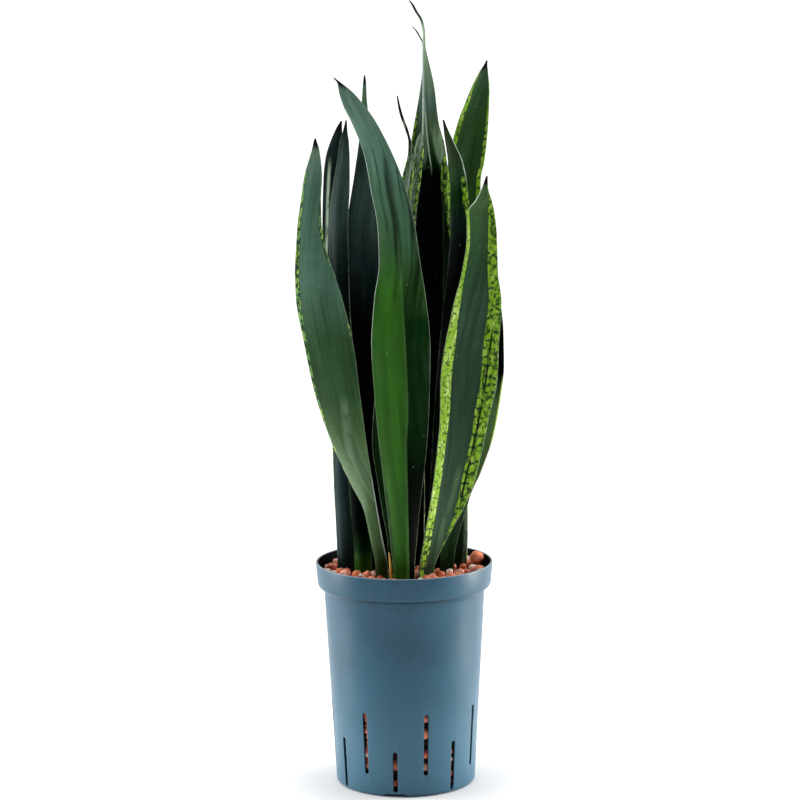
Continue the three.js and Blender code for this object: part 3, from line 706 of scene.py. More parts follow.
class Shader:
    """A material under construction, with short ways to add its nodes."""

    def __init__(self, name):
        self.material = bpy.data.materials.new(name)
        self.material.use_nodes = True
        self.tree = self.material.node_tree
        self.surface = self.tree.nodes["Principled BSDF"]

    def link(self, value, socket):
        if isinstance(value, bpy.types.NodeSocket):
            self.tree.links.new(value, socket)
        else:
            socket.default_value = value

    def node(self, kind, inputs=(), **settings):
        made = self.tree.nodes.new(kind)
        for key, value in settings.items():
            setattr(made, key, value)
        for key, value in dict(inputs).items():
            self.link(value, made.inputs[key])
        return made

    def math(self, operation, a, b=0.0, clamp=False):
        return self.node("ShaderNodeMath", {0: a, 1: b}, operation=operation, use_clamp=clamp).outputs[0]

    def plus(self, a, b):
        return self.math("ADD", a, b)

    def minus(self, a, b):
        return self.math("SUBTRACT", a, b)

    def times(self, product, *others):
        for other in others:
            product = self.math("MULTIPLY", product, other)
        return product

    def mix(self, share, a, b):
        return self.node("ShaderNodeMix", {0: share, 6: a, 7: b}, data_type="RGBA").outputs[2]

    def fade(self, value, low, high, start=0.0, end=1.0):
        inputs = {"Value": value, "From Min": low, "From Max": high, "To Min": start, "To Max": end}
        made = self.node("ShaderNodeMapRange", inputs, clamp=True, interpolation_type="SMOOTHSTEP")
        return made.outputs[0]

    def split(self, vector):
        return self.node("ShaderNodeSeparateXYZ", {0: vector}).outputs

    def join(self, x, y, z):
        return self.node("ShaderNodeCombineXYZ", {0: x, 1: y, 2: z}).outputs[0]

    def stored(self, name):
        """The three numbers that a mesh stores under a name."""
        return self.split(self.node("ShaderNodeAttribute", attribute_name=name).outputs["Vector"])

    def noise(self, vector, scale, detail=2.0, roughness=0.5, distortion=0.0):
        inputs = {"Vector": vector, "Scale": scale, "Detail": detail, "Roughness": roughness,
                  "Distortion": distortion}
        return self.node("ShaderNodeTexNoise", inputs).outputs["Fac"]

    def scale(self, vector, amount):
        return self.node("ShaderNodeVectorMath", {0: vector, "Scale": amount}, operation="SCALE").outputs[0]

    def brightness(self, colour):
        return self.node("ShaderNodeRGBToBW", {0: colour}).outputs[0]

    def ramp(self, share, stops):
        made = self.node("ShaderNodeValToRGB", {0: share})
        elements = made.color_ramp.elements
        while len(elements) < len(stops):
            elements.new(0.5)
        for element, (position, colour) in zip(elements, stops):
            element.position = position
            element.color = colour
        return made.outputs[0]

    def object_place(self):
        """Object coordinates in millimetres."""
        return self.scale(self.node("ShaderNodeTexCoord").outputs["Object"], 1 / MM)

    def bump(self, height, distance, strength=1.0):
        inputs = {"Height": height, "Distance": distance * MM, "Strength": strength}
        self.link(self.node("ShaderNodeBump", inputs).outputs[0], self.surface.inputs["Normal"])

    def set(self, **values):
        names = {"colour": "Base Color", "roughness": "Roughness", "specular": "Specular IOR Level"}
        for key, value in values.items():
            self.link(value, self.surface.inputs[names[key]])


class LeafShader(Shader):
    """A leaf's skin under construction: its look, its colour so far and the places that its mesh stores."""

    def __init__(self, name, leaf, look):
        super().__init__(name)
        self.look = look
        self.tip = leaf["edges"][-1][0]
        self.seed = float(leaf["edges"][0][1]) + 100
        self.left, self.right, self.height = self.stored("leaf_place")
        self.band_left, self.band_right, self.from_tip = self.stored("leaf_band")
        self.fold, *self.drawn = self.stored("leaf_lines")

    def grain(self, across, up, offset, detail=2.0, roughness=0.5, distortion=0.0):
        """Noise over the leaf, with a scale across it and another up it."""
        place = self.join(self.times(self.left, across), self.seed + offset, self.times(self.height, up))
        return self.noise(place, 1.0, detail, roughness, distortion)

    def paint(self, colour, *shares):
        """Lays a colour over the leaf, as strong as the shares multiplied."""
        self.colour = self.mix(self.times(*shares), self.colour, colour)

    def at(self, low, high, start=0.0, end=1.0):
        """A share that fades in from one height to another."""
        return self.fade(self.height, low, high, start, end)

    def height_ramp(self, rows):
        length = self.tip - LEAF_BOTTOM
        share = self.math("DIVIDE", self.minus(self.height, LEAF_BOTTOM), length)
        return self.ramp(share, [((z - LEAF_BOTTOM) / length, colour) for z, colour in rows])

    def ground(self):
        """The leaf's colours by height, with painted light and shade that differ past the fold, and a
        painted highlight along its crest.
        """
        self.colour = self.height_ramp(self.look["ramp"])
        if "fold" in self.look:
            # Painted light and shade that differ past the fold
            self.paint(self.height_ramp(self.look["beyond"]), self.fade(self.fold, -0.6, 0.8))
            # A painted highlight along the fold's crest
            self.paint(SAGE, self.fade(self.fold, -2.4, -0.5), self.fade(self.fold, 0.4, -0.3), 0.25)

    def furrow_share(self):
        """How strongly the folds show at each height."""
        if "furrows" not in self.look:
            return 1.0
        low, high = self.look["furrows"]
        within = self.times(self.at(low - 40, low), self.at(high + 40, high))
        return self.fade(within, 0, 1, 0.25, 1.0)

    def grow(self):
        """What growth left in the skin: fine streaks, broad clouds and faint cross bands, and lengthwise
        folds with painted shade and light.
        """
        self.streak = self.grain(0.5, 0.011, 0, 4.0, 0.6)
        self.folds = self.grain(0.16, 0.010, 3)
        self.furrowed = self.furrow_share()
        streaked = 0.12 * self.look.get("streaks", 1.0)
        fold_shading_strength = self.look.get("folds", 0.25)
        # Painted shade and light along the lengthwise folds
        fold_shading = self.times(self.fade(self.folds, 0.36, 0.58, -fold_shading_strength, 0.5 * fold_shading_strength), self.furrowed)
        value = self.times(
            self.fade(self.streak, 0.3, 0.7, 1 - streaked, 1 + streaked),
            self.plus(fold_shading, 1.0),
            self.fade(self.grain(0.05, 0.012, 7), 0.3, 0.7, 0.84, 1.2),
            self.fade(self.grain(0.04, 0.14, 13, 5.0, 0.65, 0.6), 0.35, 0.65, 0.95, 1.05),
        )
        self.colour = self.scale(self.colour, value)

    def bloom(self):
        """A faint pale bloom on the wax that is also a painted sheen, kept off the darkest parts, which are
        painted shade.
        """
        bloom_and_sheen = self.fade(self.grain(0.12, 0.02, 17, 4.0, 0.6), 0.52, 0.72, 0, 0.06)
        self.paint(MIST, bloom_and_sheen, self.fade(self.brightness(self.colour), 0.002, 0.02))

    def flecks(self):
        """Short pale and dark flecks on the upper part."""
        flecks = self.grain(0.9, 0.14, 71, 3.0, 0.6)
        share = self.at(430, 470, 0, self.look["flecks"])
        self.paint(SILVER, self.fade(flecks, 0.53, 0.62), share)
        self.paint(PINE, self.fade(flecks, 0.47, 0.39), share)

    def lime_band(self, edge, net, limes, seed):
        """A lime band where edge is below 1, cut into cells by broken dark lines."""
        across, along, line, darkness, low_line = net
        warp = self.times(self.minus(self.grain(0.4, 0.4, 5, 3.0, 0.6), 0.5), 1.5)
        cells = self.join(
            self.plus(self.times(self.left, 1 / across), warp),
            self.plus(self.times(self.height, 1 / along), seed),
            0.0,
        )
        walls = self.node("ShaderNodeTexVoronoi", {"Vector": cells, "Scale": 1.0, "Randomness": 1.0},
                          voronoi_dimensions="2D", feature="DISTANCE_TO_EDGE").outputs["Distance"]
        broken = self.fade(self.grain(0.3, 0.22, seed, 3.0, 0.65), 0.4, 0.62, 0.05, 2.0)
        width = self.times(broken, self.at(236, 206, line, low_line))
        dark = self.fade(self.math("DIVIDE", walls, width), 1.3, 0.6)
        dots = self.fade(self.grain(0.5, 0.5, seed + 3), 0.64, 0.7)
        lime = self.mix(self.fade(self.grain(0.2, 0.06, seed + 9, 3.0), 0.45, 0.68), *limes)
        mottle = self.grain(0.34, 0.2, seed + 15, 3.0, 0.6)
        start = 0.6 - 0.3 * darkness
        lime = self.mix(self.fade(mottle, start, start + 0.12, 0.0, 0.85), lime, DARK_LIME)
        lime = self.mix(self.times(self.math("MAXIMUM", dark, dots), 0.92), lime, MARK)
        bend = self.minus(self.grain(0.25, 0.22, seed + 5, 3.0), 0.5)
        strayed = self.plus(edge, self.times(bend, self.look.get("wobble", 0.5)))
        self.paint(MARK, self.fade(strayed, 1.22, 1.0), 0.6)
        self.paint(lime, self.fade(strayed, 1.04, 0.94))

    def lime_bands(self):
        for side, edge, seed in (("left", self.band_left, 21.0), ("right", self.band_right, 37.0)):
            if side in self.look:
                self.lime_band(edge, *self.look[side][1:], seed)

    def drawn_lines(self):
        """Ragged lines along given paths, which fade out at both ends; some are painted highlights and some
        painted shade.
        """
        for (path, width, colour, strength), distance in zip(self.look.get("lines", []), self.drawn):
            low = path[0][0]
            high = path[-1][0]
            inside = self.fade(self.math("ABSOLUTE", distance), width, 0.2 * width)
            ragged = self.fade(self.grain(0.2, 0.08, 45, 3.0), 0.35, 0.5, 0.4, 1)
            ends = (self.at(low - 8, low + 10), self.at(high + 8, high - 10))
            self.paint(colour, inside, ragged, *ends, strength)

    def edges(self):
        """A thin rough rim along both margins, and the broader pale edges."""
        wide = self.fade(self.plus(self.left, self.right), 4, 12)
        rough = self.fade(self.grain(0.1, 0.12, 61, 4.0, 0.7), 0.35, 0.6, 0.15, 0.9)
        for side in (self.left, self.right):
            self.paint(EDGE, self.fade(side, 0.7, 0.3), wide, rough, self.look.get("rim", 0.75))
        patchy = self.fade(rough, 0.15, 0.6, 0.55, 1.0)
        for side, low, high, width, colour in self.look.get("margins", []):
            near = self.fade(self.left if side == "left" else self.right, width, 0.4 * width)
            self.paint(colour, near, self.at(low - 6, low + 6), self.at(high + 6, high - 6), patchy)

    def finish(self):
        """Pale specks, the dried tip, the wax's shine and the skin's relief."""
        place = self.object_place()
        dust = self.node("ShaderNodeTexVoronoi", {"Vector": place, "Scale": 0.09}, feature="F1")
        self.paint(SPECK, self.fade(dust.outputs["Distance"], 0.06, 0.03, 0, 0.4))
        dry = self.plus(self.from_tip, self.times(self.streak, 0.8))
        self.paint(TIP_BROWN, self.fade(dry, 1.5, 0.9, 0.0, self.look.get("dry", 1.0)))
        gloss = self.look.get("gloss", 0.12)
        self.set(colour=self.colour, roughness=self.fade(self.streak, 0.3, 0.7, 0.34, 0.5),
                 specular=self.fade(self.brightness(self.colour), 0.003, 0.03, 0.15 * gloss, gloss))
        pores = self.noise(place, 0.8, 3.0)
        relief = self.plus(self.grain(1.3, 0.02, 51, 3.0), self.times(pores, 0.4))
        self.bump(self.plus(relief, self.times(self.folds, self.furrowed, 2.5)), 0.3, 0.7)


def leaf_material(name, leaf, look):
    """Waxy leaf skin: lengthwise streaks, faint cross bands, netted lime margins and a dried tip."""
    skin = LeafShader(name, leaf, look)
    skin.ground()
    skin.grow()
    skin.bloom()
    if "flecks" in look:
        skin.flecks()
    skin.lime_bands()
    skin.drawn_lines()
    skin.edges()
    skin.finish()
    return skin.material


def plastic_material():
    """Blue-grey moulded plastic with faint clouding and a fine grain, with painted light and shade: a
    highlight on the lip, lighter low down, shade under the rim band and nearly black inside the pot.
    """
    shade = Shader("pot_plastic")
    place = shade.object_place()
    x, _, height = shade.split(place)
    inside = shade.stored("pot_zone")[0]
    cloud = shade.noise(place, 0.02, 4.0, 0.55)
    haze = shade.noise(place, 0.3, 5.0, 0.65)
    scuff = shade.noise(place, 0.8, 6.0, 0.75)
    # A painted highlight along the top of the lip
    lip = shade.fade(height, POT_HEIGHT - 0.7, POT_HEIGHT - 0.2, 0, 0.6)
    colour = shade.mix(shade.fade(cloud, 0.35, 0.65), *PLASTIC)
    # Painted light: the wall grows lighter towards the foot, as the light falls there
    colour = shade.mix(shade.fade(height, 130, 10, 0, 0.8), colour, PAINTED_LIGHT_LOW)
    colour = shade.mix(shade.fade(haze, 0.5, 0.75, 0, 0.15), colour, PLASTIC_HAZE)
    colour = shade.mix(shade.fade(scuff, 0.68, 0.8, 0, 0.1), colour, PLASTIC_SCUFF)
    colour = shade.mix(lip, colour, LIP_HIGHLIGHT)
    # Painted shade under the rim band: a thin dark line at the ledge and softer shade below it, weaker
    # towards the sides where the light falls
    ledge = LEDGE[1]
    from_shade_line = shade.math("ABSOLUTE", shade.minus(height, ledge - 0.7))
    shaded = shade.fade(height, ledge - 10, ledge, 0, 0.35)
    under = shade.times(shaded, shade.fade(height, ledge + 1, ledge + 0.4))
    rim_shade = shade.math("MAXIMUM", shade.fade(from_shade_line, 0.85, 0.35), under)
    rim_shade = shade.times(rim_shade, shade.fade(shade.math("ABSOLUTE", x), 28, 52, 1.0, 0.4))
    colour = shade.mix(rim_shade, colour, RIM_SHADOW)
    # Painted shade: the inside of the pot is nearly black
    colour = shade.mix(inside, colour, INSIDE_SHADE)
    shade.set(colour=colour, roughness=shade.fade(cloud, 0.3, 0.7, 0.34, 0.42),
              specular=shade.fade(inside, 0, 1, 0.32, 0.01))
    shade.bump(shade.noise(place, 2.4, 3.0, 0.6), 0.04, 0.5)
    return shade.material


def clay_material():
    """Fired clay skin: every pebble has a tone of its own, with pits and pale dust."""
    shade = Shader("fired_clay")
    tone, dust, _ = shade.stored("pebble_tone")
    place = shade.object_place()
    blotch = shade.times(shade.minus(shade.noise(place, 0.16, 4.0, 0.6), 0.5), 1.3)
    clay = shade.ramp(shade.math("ADD", tone, blotch, clamp=True), CLAYS)
    pits = shade.noise(place, 1.1, 4.0, 0.7)
    colour = shade.mix(shade.fade(pits, 0.42, 0.3, 0, 0.7), clay, CLAY_PIT)
    powder = shade.noise(place, 0.5, 5.0, 0.7)
    colour = shade.mix(shade.times(shade.fade(powder, 0.52, 0.66), dust), colour, CLAY_POWDER)
    shade.set(colour=colour, roughness=0.92, specular=0.25)
    shade.bump(shade.plus(pits, shade.times(powder, 0.6)), 0.5, 0.8)
    return shade.material


def bed_material():
    """Painted shade for the dark gaps between the pebbles."""
    shade = Shader("clay_bed_in_shade")
    grit = shade.noise(shade.object_place(), 0.35, 5.0, 0.7)
    shade.set(colour=shade.mix(shade.fade(grit, 0.4, 0.65), *BED_SHADE), roughness=0.95)
    shade.bump(grit, 2.0, 1.0)
    return shade.material


def sheath_material():
    """Dried leaf sheath: straw yellow with brown fibres."""
    shade = Shader("dry_leaf")
    x, y, z = shade.split(shade.object_place())
    fibre = shade.noise(shade.join(shade.times(x, 3.0), y, shade.times(z, 0.12)), 1.0, 4.0)
    shade.set(colour=shade.mix(shade.fade(fibre, 0.35, 0.65), *STRAW), roughness=0.7)
    shade.bump(fibre, 0.3, 0.8)
    return shade.material


def root_material():
    """The hidden rhizome's tan skin."""
    shade = Shader("rhizome_skin")
    scar = shade.noise(shade.object_place(), 0.2, 4.0)
    shade.set(colour=shade.mix(shade.fade(scar, 0.4, 0.6), *ROOT), roughness=0.8)
    shade.bump(scar, 0.6, 0.8)
    return shade.material


def wall_radius(z):
    """The pot wall's outer radius, up to the shoulder."""
    share = (z - FOOT_HEIGHT) / (SHOULDER_BOTTOM - FOOT_HEIGHT)
    return FOOT_RADIUS + (SHOULDER_RADIUS - FOOT_RADIUS) * share


def inside_radius(z):
    """The pot's inner radius, up to the rim."""
    share = min(1, max(0, (z - SHOULDER_BOTTOM) / SHOULDER_RISE))
    return wall_radius(min(z, SHOULDER_BOTTOM)) - WALL + (RIM_INSIDE - SHOULDER_RADIUS + WALL) * share


def rounded(outline, steps=4):
    """Replaces each corner of an outline of (radius, height, corner radius) by a short curve."""
    points = []
    count = len(outline)
    for i, (x, z, size) in enumerate(outline):
        here = np.array([x, z], float)
        if size == 0:
            points.append(here)
            continue
        before = np.array(outline[i - 1][:2], float) - here
        after = np.array(outline[(i + 1) % count][:2], float) - here
        reach = min(size, 0.45 * np.hypot(*before), 0.45 * np.hypot(*after))
        start = here + before / np.hypot(*before) * reach
        end = here + after / np.hypot(*after) * reach
        for t in np.linspace(0, 1, steps):
            points.append((1 - t) ** 2 * start + 2 * t * (1 - t) * here + t**2 * end)
    return points


def turned_object(name, outline, segments):
    """A closed body of revolution from an outline that starts and ends on the axis."""
    points = []
    faces = []
    inner = outline[1:-1]
    for k in range(segments):
        angle = 2 * math.pi * k / segments
        for radius, z in inner:
            points.append((radius * math.sin(angle), -radius * math.cos(angle), z))
    size = len(inner)
    bottom = len(points)
    points.append((0, 0, outline[0][1]))
    points.append((0, 0, outline[-1][1]))
    for k in range(segments):
        a = k * size
        b = ((k + 1) % segments) * size
        for i in range(size - 1):
            faces.append((a + i, b + i, b + i + 1, a + i + 1))
        faces.append((bottom, b, a))
        faces.append((bottom + 1, a + size - 1, b + size - 1))
    return mesh_object(name, points, faces)


def slots():
    """Each drain slot's azimuth from the front towards +X in degrees, with its lowest and highest point."""
    made = []
    for row in range(SLOT_ROWS):
        for i in range(-SLOTS_TO_SIDE, SLOTS_TO_SIDE + 1):
            low, high = SLOT_HIGH if i % 2 else SLOT_LOW if i else SLOT_MIDDLE
            made.append((NOTCH_ANGLE + 360 / SLOT_ROWS * row + SLOT_STEP * i, low, high))
    return made


def cutter(points, faces, azimuth, radius, outline):
    """Adds a prism that cuts through the wall at an azimuth: its outline is (sideways, height)."""
    angle = math.radians(azimuth)
    side = Vector((math.cos(angle), math.sin(angle), 0))
    out = Vector((math.sin(angle), -math.cos(angle), 0))
    first = len(points)
    count = len(outline)
    for distance in (radius - CUT_DEPTH / 2, radius + CUT_DEPTH / 2):
        for across, z in outline:
            points.append(tuple(out * distance + side * across + Vector((0, 0, z))))
    faces.append(tuple(first + i for i in range(count)))
    faces.append(tuple(first + count + i for i in reversed(range(count))))
    for i in range(count):
        j = (i + 1) % count
        faces.append((first + j, first + i, first + count + i, first + count + j))


def slot_cutter():
    """One body for all the drain slots, which have round ends."""
    points = []
    faces = []
    half = SLOT_WIDTH / 2
    for azimuth, low, high in slots():
        shape = []
        for t in np.linspace(0, 2 * math.pi, SLOT_CORNERS, endpoint=False):
            level = high - half if math.sin(t) >= 0 else low + half
            shape.append((half * math.cos(t), level + half * math.sin(t)))
        cutter(points, faces, azimuth, SLOT_RADIUS, shape)
    return mesh_object("slot_cutter", points, faces)


def notch_cutter():
    """One body for all the notches in the foot ring."""
    points = []
    faces = []
    wide = NOTCH_WIDTH / 2
    narrow = wide - NOTCH_SLOPE
    shape = [(-wide, -NOTCH_BELOW), (wide, -NOTCH_BELOW), (narrow, NOTCH_HEIGHT), (-narrow, NOTCH_HEIGHT)]
    for i in range(NOTCH_COUNT):
        cutter(points, faces, NOTCH_ANGLE + 360 / NOTCH_COUNT * i, NOTCH_RADIUS, shape)
    return mesh_object("notch_cutter", points, faces)


def keep_result(made):
    """Puts an object's modifiers into its mesh."""
    graph = bpy.context.evaluated_depsgraph_get()
    made.data = bpy.data.meshes.new_from_object(made.evaluated_get(graph))
    made.modifiers.clear()


def cut_away(body, tool):
    """Cuts one closed mesh out of another and drops it."""
    cut = body.modifiers.new("cut", "BOOLEAN")
    cut.operation = "DIFFERENCE"
    cut.object = tool
    cut.solver = "EXACT"
    keep_result(body)
    bpy.data.objects.remove(tool)


def soften_edges(body):
    """Gives the cut edges a small bevel."""
    bevel = body.modifiers.new("soft_edges", "BEVEL")
    bevel.width = EDGE_BEVEL * MM
    bevel.segments = 2
    bevel.limit_method = "ANGLE"
    bevel.angle_limit = math.radians(BEVEL_ANGLE)
    keep_result(body)


def pot_object():
    """The pot with its rim band, shoulder, foot ring, drain slots and notches."""
    outer_rings = [(wall_radius(z), z, 0) for z in WALL_RINGS]
    inner_rings = [(wall_radius(z) - WALL, z, 0) for z in reversed(WALL_RINGS)]
    foot_inside = FOOT_RADIUS - WALL
    outline = [
        (0, 0, 0), (PAD_RADIUS, 0, 0.4), (PAD_RADIUS + PAD_SLOPE, FLOOR_UNDERSIDE, 0.5),
        (FOOT_RING_INSIDE, FLOOR_UNDERSIDE, 0.6), (FOOT_RING_INSIDE + FOOT_RING_SLOPE, 0, 0.3),
        (FOOT_RING_OUTSIDE, 0, 0.8), (*FOOT_EDGE, 1.2), (FOOT_RADIUS, FOOT_HEIGHT, 2), *outer_rings,
        (SHOULDER_RADIUS, SHOULDER_BOTTOM, 1.2), (*LEDGE, 0.8), (RIM_BAND_RADIUS, RIM_BAND_BOTTOM, 0.8),
        (RIM_RADIUS, POT_HEIGHT, 0.7), (RIM_RADIUS - LIP_WIDTH, POT_HEIGHT, 0.6),
        (RIM_INSIDE, SHOULDER_BOTTOM + SHOULDER_RISE, 1.0), (SHOULDER_RADIUS - WALL, SHOULDER_BOTTOM, 1.0),
        *inner_rings, (foot_inside, FOOT_HEIGHT, 1.0), (foot_inside - FLOOR_COVE, FLOOR_TOP, 0.5),
        (0, FLOOR_TOP, 0),
    ]
    body = turned_object("pot_shell", rounded(outline), POT_SEGMENTS)
    cut_away(body, slot_cutter())
    cut_away(body, notch_cutter())
    soften_edges(body)
    zones = []
    for vertex in body.data.vertices:
        x, y, z = vertex.co / MM
        middle = inside_radius(z) + 0.5 * WALL + max(0, z - RIM_BAND_BOTTOM) * RIM_FLARE
        inside = math.hypot(x, y) < middle and FLOOR_TOP - 1 < z < POT_HEIGHT - 0.4
        zones.append((float(inside), 0.0, 0.0))
    set_vectors(body, "pot_zone", zones)
    body.data.shade_smooth()
    body.data.set_sharp_from_angle(angle=math.radians(SHARP_ANGLE))
    return body


def leaf_feet():
    """Each leaf's level cut at the pebbles' top, as its two ends."""
    feet = []
    for leaf in LEAVES.values():
        middle, half, depth, turn, channel = leaf_cuts(leaf, FOOT_LEVEL)
        along = np.array([math.cos(turn), math.sin(turn)]) * half
        centre = np.array([middle, depth + 0.6 * channel * half])
        feet.append((centre - along, centre + along))
    return feet


def distance_to_foot(place, foot):
    start, end = foot
    run = end - start
    share = np.clip(np.dot(place - start, run) / np.dot(run, run), 0, 1)
    return np.hypot(*(place - start - share * run)) - FOOT_HALF_THICKNESS


def settled_height(place, radius, stones):
    """How high a pebble comes to rest at a place on the pebbles that are there."""
    level = HEAP_FLOOR
    for x, y, z, other in stones:
        gap = math.hypot(x - place[0], y - place[1])
        touch = PEBBLE_SINK * (radius + other)
        if gap < touch:
            level = max(level, z + math.sqrt(touch**2 - gap**2))
    return level


def heap(draw):
    """Places for the pebbles on top: each settles on those below it at the lowest of a few random spots."""
    feet = leaf_feet()
    stones = [BIG_PEBBLE]
    for _ in range(PEBBLE_TRIES):
        radius = draw.uniform(*PEBBLE_RADII)
        best = None
        for _ in range(PEBBLE_SPOTS):
            reach = math.sqrt(draw.random()) * (RIM_INSIDE - radius)
            angle = draw.uniform(0, 2 * math.pi)
            place = np.array([reach * math.cos(angle), reach * math.sin(angle)])
            if min(distance_to_foot(place, foot) for foot in feet) < 0.75 * radius:
                continue
            level = settled_height(place, radius, stones)
            if reach + 1.08 * radius > inside_radius(level - 0.5 * radius):
                continue
            if best is None or level < best[2]:
                best = (place[0], place[1], level)
        if best and best[2] + radius < HEAP_TOP:
            stones.append((*best, radius))
    return stones


def slot_stones(draw):
    """Places for the pebbles that show through the slots, stacked just inside the wall."""
    stones = []
    for i, (azimuth, low, high) in enumerate(slots()):
        loose = SLOT_GAPS[i % len(SLOT_GAPS)]
        z = low + SLOT_PEBBLE_START
        while z < high + SLOT_PEBBLE_BEYOND:
            radius = draw.uniform(*SLOT_PEBBLE_RADII)
            angle = math.radians(azimuth + draw.uniform(-1.5, 1.5))
            reach = wall_radius(z) - WALL + 0.1 - radius * draw.uniform(1.0, 1.0 + 0.2 * loose)
            stones.append((reach * math.sin(angle), -reach * math.cos(angle), z, radius))
            z += radius * loose * draw.uniform(0.8, 1.3)
    return stones


def ball():
    """The points and faces of a round ball of radius 1."""
    mesh = bpy.data.meshes.new("ball")
    builder = bmesh.new()
    bmesh.ops.create_icosphere(builder, subdivisions=PEBBLE_DETAIL, radius=1)
    builder.to_mesh(mesh)
    builder.free()
    points = [vertex.co.copy() for vertex in mesh.vertices]
    faces = [tuple(polygon.vertices) for polygon in mesh.polygons]
    bpy.data.meshes.remove(mesh)
    return points, faces


def pebbles_object(name, stones, draw):
    """Many pebbles in one mesh, each an uneven ball with a tone and a share of dust of its own."""
    ball_points, ball_faces = ball()
    points = []
    faces = []
    tones = []
    for x, y, z, radius in stones:
        first = len(points)
        shape = Matrix.Diagonal([draw.uniform(*limits) for limits in PEBBLE_SQUASH])
        spin = Euler([draw.uniform(*limits) for limits in PEBBLE_SPIN]).to_matrix()
        seed = Vector([draw.uniform(0, 50) for _ in range(3)])
        # The skin reads the first two numbers, and the third draw keeps the later ones in step
        tone = (min(1, max(0, draw.gauss(0.5, 0.3))), draw.uniform(0.05, 0.6), draw.random())
        if radius == BIG_PEBBLE[3]:
            tone = BIG_PEBBLE_TONE
        for point in ball_points:
            lumps = 1 + 0.17 * noise.noise(point * 1.3 + seed) + 0.1 * noise.noise(point * 4 + seed)
            points.append(tuple(spin @ (shape @ point) * (radius * lumps) + Vector((x, y, z))))
        faces.extend(tuple(first + i for i in face) for face in ball_faces)
        tones.extend([tone] * len(ball_points))
    made = mesh_object(name, points, faces)
    set_vectors(made, "pebble_tone", tones)
    return made


def bed_object():
    """The mass of pebbles that shows between those on top and behind the slots, dark with painted shade."""
    bottom = FLOOR_TOP + 0.5
    low, middle, high = BED_LEVELS
    outline = [
        (0, bottom), (wall_radius(low) - WALL - BED_GAP, bottom),
        (wall_radius(middle) - WALL - BED_GAP, middle), (wall_radius(high) - WALL - BED_TOP_GAP, high),
        (BED_TOP_RADIUS, HEAP_FLOOR + 6), (0, HEAP_FLOOR + 7),
    ]
    return turned_object("clay_bed_in_shade", outline, ROUND_SEGMENTS)


def dress(piece, material, slot, *nodes):
    """Gives a piece its material and its body, and hides the solids that it stands for."""
    piece.data.materials.clear()
    piece.data.materials.append(material)
    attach(piece, "root")
    if nodes:
        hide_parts(*nodes)


def camera():
    """The photograph's view."""
    pitch = math.radians(CAMERA_PITCH)
    roll = math.radians(CAMERA_ROLL)
    ahead = Vector((0, math.cos(pitch), math.sin(pitch)))
    level = Vector((1, 0, 0))
    upright = level.cross(ahead)
    right = math.cos(roll) * level + math.sin(roll) * upright
    up = math.cos(roll) * upright - math.sin(roll) * level
    lens = bpy.data.cameras.new("camera")
    lens.lens = CAMERA_LENS
    lens.sensor_width = CAMERA_SENSOR
    lens.clip_end = 100
    made = bpy.data.objects.new("camera", lens)
    bpy.context.scene.collection.objects.link(made)
    turn = Matrix((right, up, -ahead)).transposed().to_4x4()
    made.matrix_world = Matrix.Translation(Vector(CAMERA_PLACE) * MM) @ turn
    bpy.context.scene.camera = made


def soft_box(name, place, size, power, target, spread, colour):
    """A rectangular soft box that faces a target."""
    light = bpy.data.lights.new(name, "AREA")
    light.shape = "RECTANGLE"
    light.size, light.size_y = size
    light.energy = power
    light.color = colour
    light.spread = math.radians(spread)
    made = bpy.data.objects.new(name, light)
    bpy.context.scene.collection.objects.link(made)
    made.location = place
    made.rotation_euler = (Vector(target) - Vector(place)).to_track_quat("-Z", "Y").to_euler()


def surround():
    """A white surround that is dimmer on the camera's side."""
    world = bpy.data.worlds.new("surround")
    world.use_nodes = True
    nodes = world.node_tree.nodes
    links = world.node_tree.links
    place = nodes.new("ShaderNodeTexCoord")
    split = nodes.new("ShaderNodeSeparateXYZ")
    fade = nodes.new("ShaderNodeMapRange")
    fade.interpolation_type = "SMOOTHSTEP"
    names = ("From Min", "From Max", "To Min", "To Max")
    for name, value in zip(names, (*FRONT_FADE, FRONT_LIGHT, SURROUND_LIGHT)):
        fade.inputs[name].default_value = value
    links.new(place.outputs["Generated"], split.inputs[0])
    links.new(split.outputs["Y"], fade.inputs["Value"])
    links.new(fade.outputs[0], nodes["Background"].inputs["Strength"])
    nodes["Background"].inputs["Color"].default_value = (*WHITE_LIGHT, 1.0)
    bpy.context.scene.world = world


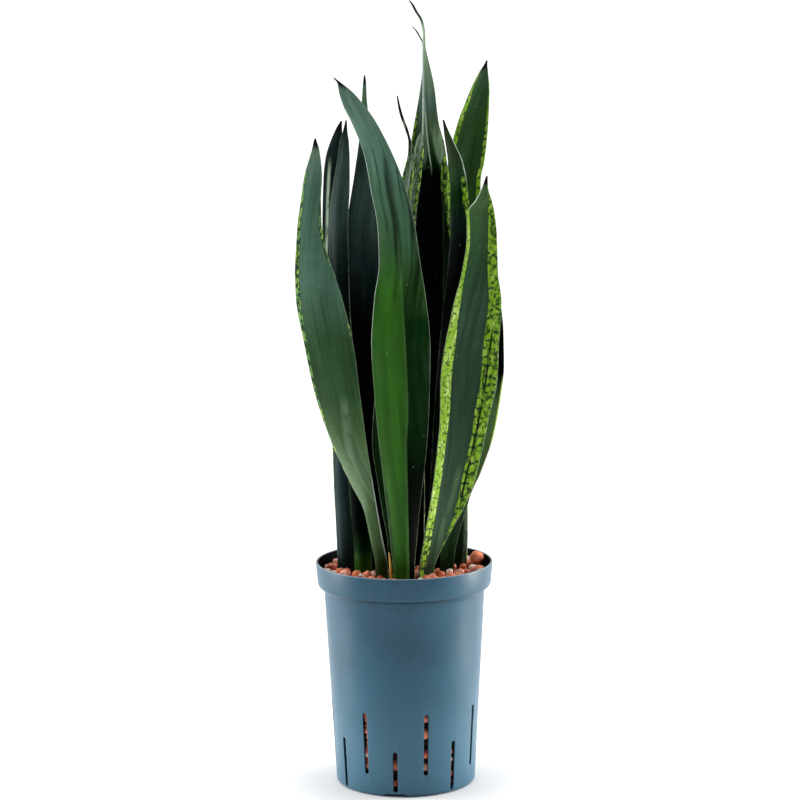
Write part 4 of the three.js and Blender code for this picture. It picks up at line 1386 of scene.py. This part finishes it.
def floor_material():
    """Matt pale floor that glows a little away from the pot, with painted shade where the glow fades near
    it.
    """
    shade = Shader("pale_floor")
    shade.set(colour=(0.9, 0.9, 0.9, 1), roughness=0.9, specular=0.1)
    x, y, _ = shade.split(shade.object_place())
    reach = shade.math("SQRT", shade.plus(shade.times(x, x), shade.times(y, y)))
    shade.link((*WHITE_LIGHT, 1), shade.surface.inputs["Emission Color"])
    # The glow fades out near the pot, leaving painted shade there
    glow = shade.fade(reach, *FLOOR_GLOW_AND_SHADE_REACH, 0, FLOOR_GLOW)
    shade.link(glow, shade.surface.inputs["Emission Strength"])
    return shade.material


def studio():
    """A plain pale floor, a white surround and soft boxes at both sides."""
    surround()
    outline = [
        (0, FLOOR_BACK), (FLOOR_RADIUS, FLOOR_BACK), (FLOOR_RADIUS, FLOOR_SURFACE), (0, FLOOR_SURFACE),
    ]
    floor = turned_object("floor", outline, ROUND_SEGMENTS)
    floor.data.materials.append(floor_material())
    for name, settings in SOFT_BOXES.items():
        soft_box(name, *settings)
    bpy.context.scene.view_settings.view_transform = "Standard"


camera()
studio()

record_slots = {row["node"]: row["material_slot"] for row in frame["record"]["subparts"]}
for leaf_name, leaf_shape in LEAVES.items():
    leaf_look = LOOKS[leaf_name]
    leaf_piece = leaf_object("fine_" + leaf_name, leaf_shape, leaf_look)
    leaf_skin = leaf_material(leaf_name + "_skin", leaf_shape, leaf_look)
    dress(leaf_piece, leaf_skin, record_slots[leaf_name], leaf_name)

sheath = leaf_object("fine_dry_sheath", DRY_SHEATH, {"ridges": 0.0})
dress(sheath, sheath_material(), "dry_leaf", "dry_sheath")

dress(pot_object(), plastic_material(), "pot_plastic", "pot")

draws = random.Random(7)
clay = clay_material()
dress(pebbles_object("top_pebbles", heap(draws), draws), clay, "fired_clay", "clay_pebbles")
dress(pebbles_object("slot_pebbles", slot_stones(draws), draws), clay, "fired_clay", "clay_pebbles")
dress(bed_object(), bed_material(), "fired_clay", "clay_pebbles")

frame["nodes"]["rhizome"].data.materials.clear()
frame["nodes"]["rhizome"].data.materials.append(root_material())
